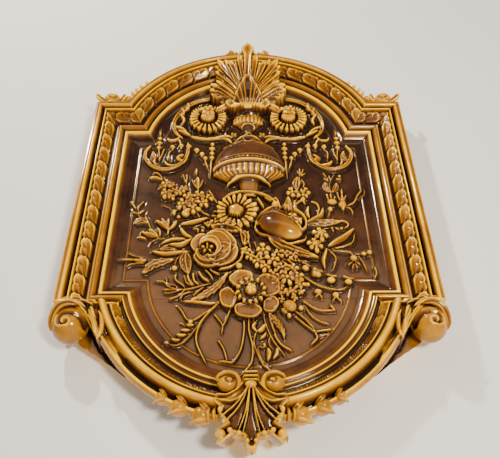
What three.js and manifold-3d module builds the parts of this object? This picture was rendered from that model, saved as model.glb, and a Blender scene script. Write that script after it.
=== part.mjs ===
// Moulded ceramic wall tile with a framed panel: a hanging covered urn, scrolls and a bouquet in relief.
// Millimetres. The tile stands upright: x runs across, z up, and the face looks along -y.
// The back lies in the plane y = 0. Relief is given as h, the height above that plane.

import * as THREE from 'three';
import { mergeVertices } from 'three/addons/utils/BufferGeometryUtils.js';
import Module from 'manifold-3d';

const wasm = await Module();
wasm.setup();

// Driving dimensions of the framed panel, measured to the crest of its inner ridge
const panel = {
  halfWidth: 136.2,
  top: 123.7,
  bottom: -86,
  arcRadius: 113.4,
  archCentre: 99.6,
  bowlCentre: -60.3,
  middle: 18,
  ground: 14,
};
const frameFoot = -102.3; // the side frames end here, above the corner consoles
const arcSteps = 7; // facets of each half arc
const root = 13; // relief solids start this far above the back, just inside the clay

// Frame profile: [distance outward from the inner ridge, height above the back]
const upperProfile = [
  [-18.9, 14], [-17.7, 15.8], [-16.5, 14], [-5, 17.2], [0, 23.4], [2.6, 20.4], [6.5, 26.2],
  [9.8, 21.4], [22.6, 28.4], [24, 36], [26.8, 25.6], [29, 35.4], [32.8, 37.6], [36.4, 34],
  [36.6, 27], [26, 0],
];
const bowlProfile = [
  [-18.9, 14], [-17.7, 15.8], [-16.5, 14], [-5, 17.2], [0, 23.4], [3.4, 21], [5.8, 24.8],
  [8, 19.6], [15.4, 28], [16.8, 33.6], [18.8, 29.5], [20.2, 36.2], [23, 39], [25.8, 36.2],
  [28.6, 25], [33, 32.2], [36.4, 27], [26, 0],
];

const leafBand = { inner: 10.4, outer: 22.2, pitch: 20.3, low: 26, high: 35, width: 15 };

// Solids from vertices [x, z, h] and triangles; a solid that comes out inside out is turned
function solid(vertices, triangles) {
  const volume = triangles.reduce((sum, [a, b, c]) => {
    const [p, q, r] = [vertices[a], vertices[b], vertices[c]];
    return sum
      + p[0] * (q[1] * r[2] - q[2] * r[1])
      - p[1] * (q[0] * r[2] - q[2] * r[0])
      + p[2] * (q[0] * r[1] - q[1] * r[0]);
  }, 0);
  const faces = volume < 0 ? triangles.map(([a, b, c]) => [a, c, b]) : triangles;
  return new wasm.Manifold(new wasm.Mesh({
    numProp: 3,
    vertProperties: new Float32Array(vertices.flatMap(([x, z, h]) => [x, -h, z])),
    triVerts: new Uint32Array(faces.flat()),
  }));
}

function fromGeometry(geometry) {
  const bare = geometry.clone();
  bare.deleteAttribute('normal');
  bare.deleteAttribute('uv');
  const merged = mergeVertices(bare, 1e-4);
  return new wasm.Manifold(new wasm.Mesh({
    numProp: 3,
    vertProperties: new Float32Array(merged.attributes.position.array),
    triVerts: new Uint32Array(merged.index.array),
  }));
}

// Rings of equal length joined one to the next, with a fan to a middle point over each end
function loft(rings, firstMiddle, lastMiddle) {
  const count = rings[0].length;
  const vertices = rings.flat();
  const triangles = [];
  for (let ring = 0; ring < rings.length - 1; ring += 1) {
    for (let i = 0; i < count; i += 1) {
      const a = ring * count + i;
      const b = ring * count + ((i + 1) % count);
      triangles.push([a, b, b + count], [a, b + count, a + count]);
    }
  }
  const average = (ring) => [0, 1, 2].map((k) => ring.reduce((sum, p) => sum + p[k], 0) / count);
  vertices.push(firstMiddle ?? average(rings[0]), lastMiddle ?? average(rings.at(-1)));
  const first = vertices.length - 2;
  const start = (rings.length - 1) * count;
  for (let i = 0; i < count; i += 1) {
    const next = (i + 1) % count;
    triangles.push([first, next, i], [first + 1, start + i, start + next]);
  }
  return solid(vertices, triangles);
}

const mirrored = (points) => [...points, ...points.map(([x, z]) => [-x, z]).reverse()];

// Outline of the panel set out by s: a rectangle with an arch above and a bowl below
function panelOutline(s) {
  const radius = panel.arcRadius + s;
  const top = panel.top + s;
  const bottom = panel.bottom - s;
  const bowlEnd = Math.acos((panel.bowlCentre - bottom) / radius);
  const archEnd = Math.acos((top - panel.archCentre) / radius);
  const half = [];
  for (let i = 0; i <= arcSteps; i += 1) {
    const angle = ((i + 0.5) / (arcSteps + 0.5)) * bowlEnd;
    half.push([radius * Math.sin(angle), panel.bowlCentre - radius * Math.cos(angle)]);
  }
  half.push([panel.halfWidth + s, bottom], [panel.halfWidth + s, top]);
  for (let i = 0; i <= arcSteps; i += 1) {
    const angle = archEnd * (1 - i / (arcSteps + 0.5));
    half.push([radius * Math.sin(angle), panel.archCentre + radius * Math.cos(angle)]);
  }
  return mirrored(half);
}

function bowlOutline(s) {
  const count = arcSteps * 5;
  return Array.from({ length: count }, (unused, i) => {
    const angle = (2 * Math.PI * (i + 0.5)) / count;
    const radius = panel.arcRadius + s;
    return [radius * Math.sin(angle), panel.bowlCentre - radius * Math.cos(angle)];
  });
}

function plate(outline, profile, middle) {
  const rings = profile.map(([s, h]) => outline(s).map(([x, z]) => [x, z, h]));
  return loft(rings, [0, middle, profile[0][1]], [0, middle, profile.at(-1)[1]]);
}

function slab(low, high) {
  const size = 500;
  const box = new THREE.BoxGeometry(size, size, high - low);
  return fromGeometry(box.translate(0, 0, (low + high) / 2));
}

// A raised blade along a path: a crest between two edges. It starts at a point and ends in one,
// or with blunt set it ends in an upright face that keeps that share of its width
function blade(path, width, crest, foot = root, { fullness = 0.7, blunt = 0 } = {}) {
  const last = path.length - 1;
  const rise = (t) => (Array.isArray(crest) ? crest[0] + (crest[1] - crest[0]) * t : crest);
  const vertices = [[...path[0], foot]];
  for (let i = 1; i < last + (blunt ? 1 : 0); i += 1) {
    const [ax, az] = path[i - 1];
    const [bx, bz] = path[Math.min(i + 1, last)];
    const length = Math.hypot(bx - ax, bz - az);
    const [nx, nz] = [-(bz - az) / length, (bx - ax) / length];
    const t = i / last;
    const taper = Math.sin(Math.PI * Math.min(1, t * 0.9 + 0.08)) ** fullness;
    const w = (width / 2) * Math.max(taper, blunt);
    const [x, z] = path[i];
    vertices.push([x + nx * w, z + nz * w, foot], [x, z, rise(t)], [x - nx * w, z - nz * w, foot]);
  }
  const tail = vertices.length - 3;
  const triangles = [[0, 2, 1], [0, 3, 2], [0, 1, 3]];
  for (let i = 1; i < tail; i += 3) {
    for (const [a, b] of [[i, i + 1], [i + 1, i + 2], [i + 2, i]]) {
      triangles.push([a, b, b + 3], [a, b + 3, a + 3]);
    }
  }
  if (blunt) {
    triangles.push([tail, tail + 1, tail + 2]);
    return solid(vertices, triangles);
  }
  vertices.push([...path[last], foot]);
  const end = vertices.length - 1;
  triangles.push([end, tail, tail + 1], [end, tail + 1, tail + 2], [end, tail + 2, tail]);
  return solid(vertices, triangles);
}

// An arc from one point to another, bowed sideways by a share of its length
function bow(from, to, bend = 0.12, steps = 3) {
  const [dx, dz] = [to[0] - from[0], to[1] - from[1]];
  return Array.from({ length: steps + 1 }, (unused, i) => {
    const t = i / steps;
    const side = 4 * t * (1 - t) * bend;
    return [from[0] + dx * t - dz * side, from[1] + dz * t + dx * side];
  });
}

// A spiral from its open end inwards; angles in degrees from the x axis
function spiral(x, z, outer, inner, start, sweep, steps = 12) {
  return Array.from({ length: steps + 1 }, (unused, i) => {
    const t = i / steps;
    const angle = THREE.MathUtils.degToRad(start + sweep * t);
    const radius = outer + (inner - outer) * t;
    return [x + radius * Math.cos(angle), z + radius * Math.sin(angle)];
  });
}

// A rounded boss on an oval foot, turned by an angle in degrees
function boss(x, z, length, width, top, { turn = 0, foot = root, sides = 8 } = {}) {
  const angle = THREE.MathUtils.degToRad(turn);
  const ring = (share, h) => Array.from({ length: sides }, (unused, i) => {
    const a = (2 * Math.PI * i) / sides;
    const [u, v] = [(length / 2) * share * Math.cos(a), (width / 2) * share * Math.sin(a)];
    const [turnedX, turnedZ] = [
      u * Math.cos(angle) - v * Math.sin(angle),
      u * Math.sin(angle) + v * Math.cos(angle),
    ];
    return [x + turnedX, z + turnedZ, h];
  });
  return loft([ring(1, foot), ring(0.74, foot + (top - foot) * 0.8)], null, [x, z, top]);
}

// A bead: a small pyramid with its foot in the clay
function bead(x, z, size, top, foot = root) {
  const r = size / 2;
  const base = [[x + r, z, foot], [x, z + r, foot], [x - r, z, foot], [x, z - r, foot]];
  const faces = [[0, 1, 4], [1, 2, 4], [2, 3, 4], [3, 0, 4], [0, 2, 1], [0, 3, 2]];
  return solid([...base, [x, z, top]], faces);
}

// A bloom: petals round a hollow with a raised heart
function bloom(x, z, radius, petals, top, { foot = root, heart = 0.3, tilt = 0 } = {}) {
  const count = petals * 2;
  const ring = (share, h, notch, dip) => Array.from({ length: count }, (unused, i) => {
    const a = (Math.PI * (i + 0.5)) / petals;
    const petal = i % 2 === 0;
    const r = radius * share * (petal ? 1 : 1 - notch);
    return [x + r * Math.cos(a), z + r * Math.sin(a), h - (petal ? 0 : dip) - tilt * Math.sin(a)];
  });
  const rise = top - foot;
  return loft([
    ring(1, foot, 0.14, 0),
    ring(0.78, top, 0.1, rise * 0.2),
    ring(heart, top - rise * 0.26, 0, 0),
  ], null, [x, z, top + 0.6]);
}

// Half of a turned body standing out of the panel: levels are [z, half width], depth per half width
function halfTurned(levels, depth, { steps = 10, flutes = 0, cut = 0.04 } = {}) {
  const rings = levels.map(([z, half]) => Array.from({ length: steps + 1 }, (unused, i) => {
    const a = (Math.PI * i) / steps;
    const w = half * (flutes && i % 2 === 1 ? 1 - cut : 1);
    const sink = i === 0 || i === steps ? root - panel.ground - 1 : 0;
    return [w * Math.cos(a), z, panel.ground + 1 + depth * w * Math.sin(a) + sink];
  }));
  return loft(rings);
}

const both = (make) => [make(1), make(-1)];

function frame() {
  const upper = plate(panelOutline, upperProfile, panel.middle).intersect(slab(frameFoot, 300));
  const bowl = plate(bowlOutline, bowlProfile, panel.bowlCentre).intersect(slab(-250, frameFoot + 0.2));
  return upper.add(bowl);
}

// A shallow channel behind the frame, which evens the thickness of the clay
function backChannel() {
  const ring = (s, h) => panelOutline(s).map(([x, z]) => [x, z, h]);
  const outer = loft([ring(17, -1), ring(13, 9)], [0, panel.middle, -1], [0, panel.middle, 9]);
  const inner = loft([ring(-14, -2), ring(-10, 10)], [0, panel.middle, -2], [0, panel.middle, 10]);
  return outer.subtract(inner);
}

function bandLeaves() {
  const { inner, outer, pitch, low, high, width } = leafBand;
  const leaf = (at) => blade([at(inner, -7), at(inner + 6, 3), at(outer, 13)], width, high, low - 4);
  const leaves = [];
  const sideCount = Math.floor((panel.top - frameFoot) / pitch);
  for (let i = 0; i < sideCount; i += 1) {
    const z = frameFoot + 9 + i * pitch;
    leaves.push(...both((side) => leaf((s, along) => [side * (panel.halfWidth + s), z + along])));
  }
  const archLeaves = 7;
  const archEnd = THREE.MathUtils.degToRad(63);
  for (let i = 0; i < archLeaves; i += 1) {
    leaves.push(...both((side) => leaf((s, along) => {
      const angle = archEnd - (i * pitch * 0.86 + along) / panel.arcRadius;
      const radius = panel.arcRadius + s;
      return [side * radius * Math.sin(angle), panel.archCentre + radius * Math.cos(angle)];
    })));
  }
  return leaves;
}

// Ball-shaped scrolls under the side frames, with a leaf that runs down the bowl's outside
function consoles() {
  return both((side) => {
    const at = (x, z) => [side * x, z];
    const ball = new THREE.SphereGeometry(16, 10, 6);
    ball.rotateX(Math.PI / 2).translate(side * 153.5, -24, -122);
    const turn = (angle) => (side > 0 ? angle : 180 - angle);
    const curl = spiral(side * 154.4, -125, 15, 4, turn(60), side * -400, 7);
    const foot = 20;
    return [
      fromGeometry(ball),
      blade(curl, 8, [38, 44], foot, { fullness: 0.3 }),
      blade([at(165, -98), at(168.5, -112), at(168, -122), at(164, -131)], 9, 37, foot),
      blade([at(171, -99), at(152, -110), at(138, -124), at(126, -140)], 19, [41, 34], foot),
      blade([at(134, -104), at(134, -118), at(124, -138), at(108, -158)], 13, [39, 32], foot),
      boss(side * 149, -106, 46, 13, 36, { foot, turn: side * 10, sides: 5 }),
    ];
  }).flat();
}

function shoulderFinials() {
  return both((side) => {
    const at = (x, z) => [side * x, z];
    const foot = 16;
    return [
      boss(side * 154, 160, 34, 14, 31, { foot, sides: 4 }),
      boss(side * 157, 170, 18, 19, 36, { foot, sides: 7 }),
      blade([at(168, 150), at(168, 166), at(171.5, 177)], 7, 33, foot, { blunt: 0.5 }),
      blade([at(148, 152), at(140, 164), at(142, 175)], 8, 33, foot, { blunt: 0.5 }),
      blade([at(141, 152), at(131, 182), at(112, 205)], 9, 32, foot),
    ];
  }).flat();
}

// Acanthus over the crown of the arch, with a fluted leaf in front of it
function palmette() {
  const foot = 32;
  const side = [[5, 162], [21, 171], [37, 175], [45, 193], [39, 214], [37, 238], [17, 248]];
  const outline = [[0, 160], ...side, [0, 252], ...side.map(([x, z]) => [-x, z]).reverse()];
  const shrink = (share, h) => outline.map(([x, z]) => [x * share, 205 + (z - 205) * share, h]);
  const parts = [loft([shrink(0.97, 18), shrink(1, 34), shrink(0.8, 37)])];
  parts.push(blade(bow([0, 168], [0, 255], 0), 20, [41, 44], foot, { blunt: 0.6 }));
  const lobes = [
    { tip: [15, 247], start: [3, 172], width: 14, bend: 0.04 },
    { tip: [31, 240], start: [6, 174], width: 18, bend: 0.05 },
    { tip: [40, 219], start: [8, 174], width: 18, bend: 0.08 },
    { tip: [47, 194], start: [8, 170], width: 17, bend: 0.12 },
    { tip: [38, 176], start: [6, 166], width: 13, bend: 0.12 },
  ];
  for (const { tip, start, width, bend } of lobes) {
    parts.push(...both((way) => blade(
      bow([way * start[0], start[1]], [way * tip[0], tip[1]], way * bend),
      width, 41, foot, { blunt: 0.6 },
    )));
  }
  const flutes = 2;
  parts.push(blade(bow([0, 156], [0, 207], 0), 13, [40, 47], foot));
  for (let i = 1; i <= flutes; i += 1) {
    parts.push(...both((way) => blade(
      bow([way * 1.6 * i, 158], [way * 9 * i, 205 - 14 * i], way * 0.1), 11, [40, 46 - i], foot,
    )));
  }
  parts.push(...both((way) => blade(bow([way * 10, 240], [way * 28, 249], way * 0.2, 2), 9, 38, 20)));
  return parts;
}

// Scallop shell with twin ribs, a collar above it, scroll ends of the torus and garland buds
function shell() {
  const foot = 12;
  const ribs = [
    { tip: [27, -195], bend: 0.22, width: 5 },
    { tip: [23, -207], bend: 0.14, width: 8 },
    { tip: [9.5, -218], bend: 0.06, width: 8 },
  ];
  const edge = [[0, -184], [28, -194], [25, -206], [27, -218], [17, -217], [9, -221]];
  const outline = [...edge, [0, -230], ...edge.slice(1).map(([x, z]) => [-x, z]).reverse()];
  const shrink = (share, h) => outline.map(([x, z]) => [x * share, -200 + (z + 200) * share, h]);
  const parts = [loft([shrink(0.8, foot - 4), shrink(1, 28), shrink(0.86, 34)])];
  for (const { tip, bend, width } of ribs) {
    parts.push(...both((side) => blade(
      bow([side * 2, -187], [side * tip[0], tip[1]], side * -bend), width, [39, 37], foot + 8,
    )));
  }
  parts.push(...both((side) => boss(side * 23, -218, 11, 9, 36, { foot, turn: side * 30, sides: 5 })));
  parts.push(boss(0, -181, 13, 11, 42, { foot: 20, sides: 6 }));
  parts.push(...both((side) => blade(
    spiral(side * 19, -181, 9, 3, side > 0 ? 250 : 290, side * -330, 7), 6, [39, 40], 20,
    { fullness: 0.3 },
  )));
  const buds = [[71.5, -188, 14, 10, 25], [58, -194, 18, 13, 20], [41, -201, 22, 15, 10]];
  for (const [x, z, length, width, turn] of buds) {
    parts.push(...both((side) => boss(
      side * x, z, length, width, 34, { foot: 6, turn: side * turn, sides: 5 },
    )));
  }
  return parts;
}

// The hanging covered urn: cap, neck, dome, fluted bowl and foot
function urn() {
  const cap = halfTurned([[154, 7], [150, 9], [146, 15], [137, 18]], 0.55, { steps: 10, flutes: 5 });
  const neckLevels = [[138, 12], [132, 7], [127, 5.5], [122, 7], [117, 13], [112, 14]];
  const neck = halfTurned(neckLevels, 0.6, { steps: 6 });
  const dome = halfTurned([[113, 12], [100, 26.5], [88, 34.5], [75, 38.5], [68, 39.5], [65, 34]], 0.38);
  const bowl = halfTurned([[66, 38.5], [62, 37.5], [50, 22]], 0.38, { steps: 16, flutes: 8, cut: 0.06 });
  const foot = halfTurned([[51, 24], [47, 23], [41, 10], [30, 11]], 0.45, { steps: 6 });
  return [cap, neck, dome, bowl, foot];
}

function scrolls() {
  const crest = 22;
  const full = { fullness: 0.3 };
  return both((side) => {
    const at = (x, z) => [side * x, z];
    const outer = [at(20, 180), at(46, 183), at(72, 171), at(85, 145), at(78, 124), at(58, 118)];
    const bar = [at(64, 119), at(48, 117), at(30, 117), at(18, 112)];
    const ring = spiral(side * 90, 94, 23, 16, side > 0 ? 40 : 140, side * -290, 8);
    const husks = [[40, 108, 8], [40, 99, 8], [40, 90, 7]];
    const slanted = [[66, 106, 8], [57, 99, 8], [49, 91, 7]];
    const finial = [[99, 126, 6], [99, 115, 8]];
    const beads = [...husks, ...slanted, ...finial, [75, 106, 7], [85, 104, 7]];
    return [
      bloom(side * 46, 149, 21, 8, 26, { heart: 0.36, tilt: 1 }),
      boss(side * 45, 152, 12, 11, 27, { sides: 5 }),
      blade(outer, 8, crest, root, full),
      blade(bar, 7, crest, root, full),
      blade(ring, 8, [23, 20], root, full),
      blade(bow(at(108, 92), at(88, 84), side * 0.25, 2), 9, 20),
      blade(bow(at(72, 90), at(86, 82), side * -0.25, 2), 8, 20),
      blade(bow(at(40, 86), at(41, 58), 0, 2), 5, 18),
      blade(bow(at(99, 108), at(99, 86), 0, 2), 6, 20),
      ...beads.map(([x, z, size]) => bead(side * x, z, size, 21)),
    ];
  }).flat();
}

// Bouquet: leaves and stems as [from x, z, to x, z, width, crest, bend]
const leaves = [
  [-104, 68, -91, 55, 10, 20, 0.2], [-54, 56, -52, 38, 10, 20, 0], [-43, 44, -30, 20, 7, 19, 0.1],
  [-70, -5, -38, 5, 11, 21, -0.1], [-119, 28, -107, 4, 7, 20, 0.1], [-90, -3, -72, -12, 8, 20, 0.1],
  [-69, -8, -52, -24, 9, 21, 0.1], [-90, -28, -60, -21, 9, 21, 0.1], [-96, -37, -56, -38, 9, 20, -0.1],
  [-122, -46, -96, -45, 8, 19, 0], [-102, -61, -68, -43, 12, 20, 0.12], [-62, -36, -58, -66, 14, 21, 0.1],
  [-38, -8, -10, -14, 14, 25, 0.3], [-90, -72, -34, -72, 6, 20, -0.14], [-56, -93, -18, -59, 13, 21, 0.1],
  [-63, -94, -26, -92, 9, 20, -0.06], [-66, -128, -26, -97, 8, 20, -0.15],
  [-38, -153, -30, -96, 8, 19, 0.22],
  [-10, -166, -2, -102, 6, 19, -0.15], [-16, -152, -5, -104, 7, 20, -0.12],
  [-26, -152, -28, -106, 7, 18, 0.2], [52, 64, 46, 17, 10, 21, -0.1], [86, 64, 85, 29, 7, 20, 0],
  [95, 44, 94, 12, 13, 21, 0], [122, 43, 100, 11, 6, 20, 0.1], [57, -5, 78, 17, 10, 20, 0.2],
  [56, -4, 100, -7, 13, 21, 0.12], [17, -19, 67, -46, 12, 21, 0.15], [76, -33, 104, -9, 10, 20, 0.12],
  [75, -34, 70, -58, 10, 19, 0.1], [81, -35, 101, -43, 7, 19, -0.2], [47, -62, 91, -78, 6, 20, 0.15],
  [18, -102, 33, -131, 10, 20, 0], [12, -103, 30, -147, 6, 19, 0.1], [3, -134, 18, -161, 6, 19, -0.15],
  [15, -127, 15, -153, 11, 20, 0], [40, -102, 59, -123, 7, 19, 0.1],
  [48, -93, 76, -101, 7, 19, 0.15],
];
const leaflets = { count: 5, from: [-75, -74], step: [9.6, 1.4], up: [-5, 12], down: [-7, -8] };
// Small flowers and buds as [x, z, length, width, crest, turn]
const bosses = [
  [-84, 35, 12, 10, 20, 0], [-72, 42, 13, 9, 20, 20], [-60, 32, 14, 12, 22, 0], [-46, 30, 14, 13, 22, 0],
  [-62, 16, 14, 12, 22, 0], [-98, -15, 15, 11, 21, 0], [-85, -2, 15, 10, 21, -20], [-12, 12, 30, 25, 25, 0],
  [42, 15, 22, 18, 22, 0], [50, 38, 20, 12, 21, 0], [87, 45, 18, 11, 20, 0], [88, 22, 24, 14, 21, 10],
  [28, -7, 44, 29, 32, -30], [64, -31, 15, 14, 23, 0], [70, -18, 13, 12, 22, 0], [100, -50, 13, 12, 20, 0],
  [12, -38, 16, 14, 23, 0], [30, -54, 17, 15, 23, 0], [25, -68, 15, 13, 22, 0], [42, -68, 15, 13, 22, 0],
  [38, -82, 17, 14, 21, 0], [62, -64, 9, 9, 20, 0], [75, -71, 9, 9, 20, 0], [92, -73, 10, 9, 20, 0],
  [60, -84, 9, 9, 19, 0], [35, -99, 15, 14, 21, 0], [-10, -55, 9, 9, 22, 0],
];
const twig = { beads: 4, from: [-52, -113], to: [-66, -130], size: 9 };

function bouquet() {
  const parts = leaves.map(([ax, az, bx, bz, width, crest, bend]) => {
    const steps = Math.hypot(bx - ax, bz - az) > 36 ? 3 : 2;
    return blade(bow([ax, az], [bx, bz], bend, steps), width, crest);
  });
  parts.push(...bosses.map(([x, z, length, width, crest, turn]) => {
    const sides = length > 20 ? 7 : 5;
    return boss(x, z, length, width, crest, { turn, sides });
  }));
  const { count, from, step, up, down } = leaflets;
  for (let i = 0; i < count; i += 1) {
    const start = [from[0] + step[0] * i, from[1] + step[1] * i];
    for (const way of [up, down]) {
      parts.push(blade(bow(start, [start[0] + way[0], start[1] + way[1]], 0, 2), 6.5, 19.5));
    }
  }
  for (let i = 0; i < twig.beads; i += 1) {
    const t = i / (twig.beads - 1);
    const [x, z] = [0, 1].map((k) => twig.from[k] + (twig.to[k] - twig.from[k]) * t);
    parts.push(bead(x, z, twig.size, 20));
  }
  parts.push(boss(-33, -36, 50, 46, 23));
  parts.push(blade(spiral(-36, -37, 19, 5, 20, 560, 11), 7, [26, 32], 18, { fullness: 0.25 }));
  parts.push(bloom(1, -83, 21, 5, 26, { heart: 0.5 }), boss(1, -83, 20, 20, 28));
  parts.push(boss(-15, -82, 18, 15, 22, { turn: 60, sides: 6 }), boss(16, -76, 16, 14, 22, { sides: 6 }));
  return parts;
}

const relief = [
  ...bandLeaves(), ...consoles(), ...shoulderFinials(), ...palmette(), ...shell(),
  ...urn(), ...scrolls(), ...bouquet(),
];
const body = frame().subtract(backChannel());
const whole = wasm.Manifold.union([body, ...relief]);

function toGeometry(manifold) {
  const mesh = manifold.getMesh();
  const geometry = new THREE.BufferGeometry();
  geometry.setAttribute('position', new THREE.BufferAttribute(new Float32Array(mesh.vertProperties), 3));
  geometry.setIndex(new THREE.BufferAttribute(new Uint32Array(mesh.triVerts), 1));
  geometry.computeVertexNormals();
  return geometry;
}

const glaze = new THREE.MeshStandardMaterial({ color: 0x6b4420, roughness: 0.18, metalness: 0 });
const tile = new THREE.Mesh(toGeometry(whole), glaze);
tile.name = 'tile';
const part = new THREE.Group();
part.add(tile);

export default part;
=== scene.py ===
import math
import bpy
import numpy as np
from mathutils import Euler, Matrix, Vector


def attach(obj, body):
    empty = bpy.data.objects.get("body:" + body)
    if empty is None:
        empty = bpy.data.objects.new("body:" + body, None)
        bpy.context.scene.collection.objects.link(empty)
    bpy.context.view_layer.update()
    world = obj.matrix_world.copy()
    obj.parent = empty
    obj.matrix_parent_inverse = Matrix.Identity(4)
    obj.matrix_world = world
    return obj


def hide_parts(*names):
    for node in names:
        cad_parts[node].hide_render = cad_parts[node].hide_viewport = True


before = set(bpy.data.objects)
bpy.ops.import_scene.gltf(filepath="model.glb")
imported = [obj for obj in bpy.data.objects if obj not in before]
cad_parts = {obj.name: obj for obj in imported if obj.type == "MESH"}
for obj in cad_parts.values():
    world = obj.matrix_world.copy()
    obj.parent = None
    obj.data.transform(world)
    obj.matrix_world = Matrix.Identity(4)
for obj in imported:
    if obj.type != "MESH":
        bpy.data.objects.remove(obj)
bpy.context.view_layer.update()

# Places are x, z and h in millimetres: x across, z up, h the height above the back
panel = {
    "halfWidth": 136.2, "top": 123.7, "bottom": -86.0, "arcRadius": 113.4,
    "archCentre": 99.6, "bowlCentre": -60.3, "ground": 14.0, "frameFoot": -102.3,
}
# rows of (s, h, tone): s outward from the inner ridge, tone 0 where glaze pools and 1 where it is thin
upperProfile = [
    (-19.0, 14.0, 0.10), (-18.1, 15.1, 0.26), (-17.5, 15.1, 0.26), (-16.6, 14.0, 0.08), (-11, 14.6, 0.10),
    (-6, 16.4, 0.17), (-2.6, 19.2, 0.28), (-1.1, 21.2, 0.40), (-0.7, 23.1, 0.85), (0.2, 23.6, 0.95),
    (1.2, 23.4, 0.9), (1.7, 20.8, 0.1), (2.4, 19.6, 0.03), (3.1, 20.2, 0.05), (3.6, 23.2, 0.38),
    (4.6, 25.2, 0.46), (6.4, 26.4, 0.44), (8.2, 25.6, 0.38), (9.2, 23.6, 0.28), (9.6, 21.0, 0.03),
    (11.5, 20.4, 0.0), (14.0, 22.6, 0.05), (22.2, 28.8, 0.12), (22.7, 29.0, 0.04), (23.1, 33.0, 0.4),
    (23.5, 35.8, 0.85), (24.2, 36.3, 0.95), (24.9, 35.6, 0.8), (25.3, 30.0, 0.05), (25.9, 25.8, 0.0),
    (27.7, 25.4, 0.0), (28.3, 29.0, 0.1), (28.7, 34.4, 0.5), (29.6, 36.6, 0.74), (31.2, 37.4, 0.76),
    (32.9, 36.6, 0.50), (34.2, 36.3, 0.46), (35.4, 36.6, 0.70), (36.2, 35.6, 0.66), (36.7, 33.4, 0.5),
    (36.6, 27, 0.45),
]
# the pebbled band from s 9.4 to 15.6 has its tone raised partly as painted reflection
bowlProfile = [
    (-19.0, 14.0, 0.10), (-18.1, 15.1, 0.26), (-17.5, 15.1, 0.26), (-16.6, 14.0, 0.08), (-11, 14.6, 0.12),
    (-6, 16.4, 0.20), (-2.6, 19.2, 0.30), (-1.1, 21.2, 0.40), (-0.7, 23.1, 0.80), (0.1, 23.6, 0.92),
    (0.8, 23.2, 0.85), (1.2, 21.6, 0.25), (2.0, 21.0, 0.30), (3.6, 21.6, 0.42), (4.8, 22.8, 0.5),
    (5.3, 24.4, 0.75), (5.8, 25.0, 0.9), (6.3, 23.4, 0.5), (6.8, 20.0, 0.04), (8.8, 19.6, 0.02),
    (9.4, 20.6, 0.16), (12, 23.6, 0.32), (15.6, 28.4, 0.30), (16.2, 31.6, 0.5), (16.8, 33.8, 0.95),
    (17.4, 32.4, 0.7), (18.1, 29.2, 0.08), (18.8, 28.8, 0.05), (19.2, 32, 0.35), (20.2, 36, 0.66),
    (21.5, 38.3, 0.72), (23.0, 39, 0.74), (24.5, 38.2, 0.72), (25.9, 35.4, 0.62), (26.9, 30.4, 0.3),
    (27.6, 26.4, 0.02), (28.7, 24.6, 0.0), (30.3, 25.0, 0.02), (31.2, 29.8, 0.4), (32.0, 32.0, 0.85),
    (33.0, 32.6, 0.9), (34.4, 31.6, 0.6), (36.0, 29.4, 0.5), (36.4, 27, 0.45),
]
wallProfile = [
    (35.6, 23.5, 0.42), (33.4, 20.5, 0.3), (31.0, 18.5, 0.25), (29.0, 15.5, 0.25), (27.6, 10, 0.3),
    (26.6, 4, 0.35), (26, 0, 0.35),
]
channelLevel = 9.3
backProfile = [(17, 0, 0), (13, channelLevel, 0)]


def evenly(points, count):
    # points at equal steps along the polyline
    p = np.asarray(points, float)
    run = np.r_[0, np.cumsum(np.hypot(*np.diff(p[:, :2], axis=0).T))]
    at = np.linspace(0, run[-1], count)
    return np.stack([np.interp(at, run, column) for column in p.T], 1)


def curveThrough(points, count):
    # Catmull-Rom: a cubic through each pair, its end slopes half the chord between the neighbours
    p = np.asarray(points, float)
    ends = np.vstack([2 * p[0] - p[1], p, 2 * p[-1] - p[-2]])
    u = np.linspace(0, len(p) - 1, count)
    k = np.minimum(u.astype(int), len(p) - 2)
    f = (u - k)[:, None]
    a, b, c, d = ends[k], ends[k + 1], ends[k + 2], ends[k + 3]
    square, cube = 2 * a - 5 * b + 4 * c - d, 3 * b - a - 3 * c + d
    return 0.5 * (2 * b + (c - a) * f + square * f**2 + cube * f**3)


def share(value):
    # held between 0 and 1
    return np.clip(value, 0, 1)


def bell(away, spread):
    # 1 at no distance, falling off as e to the minus square of distance over spread
    return np.exp(-((away / spread) ** 2))


def arched(r):
    # height of a half circle of radius 1 at the distance r from its middle
    return np.sqrt(share(1 - r**2))


def flip(points, side):
    # the points of the right side, or for side -1 their mirror images
    return [(side * point[0], *point[1:]) for point in points]


def profileAt(profile, s, column=1):
    # height, or tone, over s: straight between the points, then averaged over about half a millimetre
    fine = np.arange(profile[0][0], 37.2, 0.1)
    heights = np.interp(fine, [p[0] for p in profile], [p[column] for p in profile])
    kernel = np.exp(-0.5 * (np.arange(-8, 9) / 2.6) ** 2)
    heights = np.convolve(np.pad(heights, 8, mode="edge"), kernel / kernel.sum(), mode="valid")
    return np.interp(s, fine, heights)


def gridFaces(rows, columns, wrapRows=False, wrapColumns=False):
    i = np.arange(rows if wrapRows else rows - 1)[:, None]
    j = np.arange(columns if wrapColumns else columns - 1)[None, :]
    up, right = (i + 1) % rows, (j + 1) % columns
    corners = [i * columns + j, i * columns + right, up * columns + right, up * columns + j]
    return np.stack([np.broadcast_to(c, (len(i), j.size)) for c in corners], -1).reshape(-1, 4)


def volumeOf(points, faces):
    # signed volume of a closed shell: a sixth of the sum of a . (b x c) over its triangles
    fans = [np.stack([f[:, 0], f[:, k], f[:, k + 1]], 1) for f in faces for k in range(1, f.shape[1] - 1)]
    a, b, c = points[np.concatenate(fans)].transpose(1, 0, 2)
    return float((a * np.cross(b, c)).sum() / 6)


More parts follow.
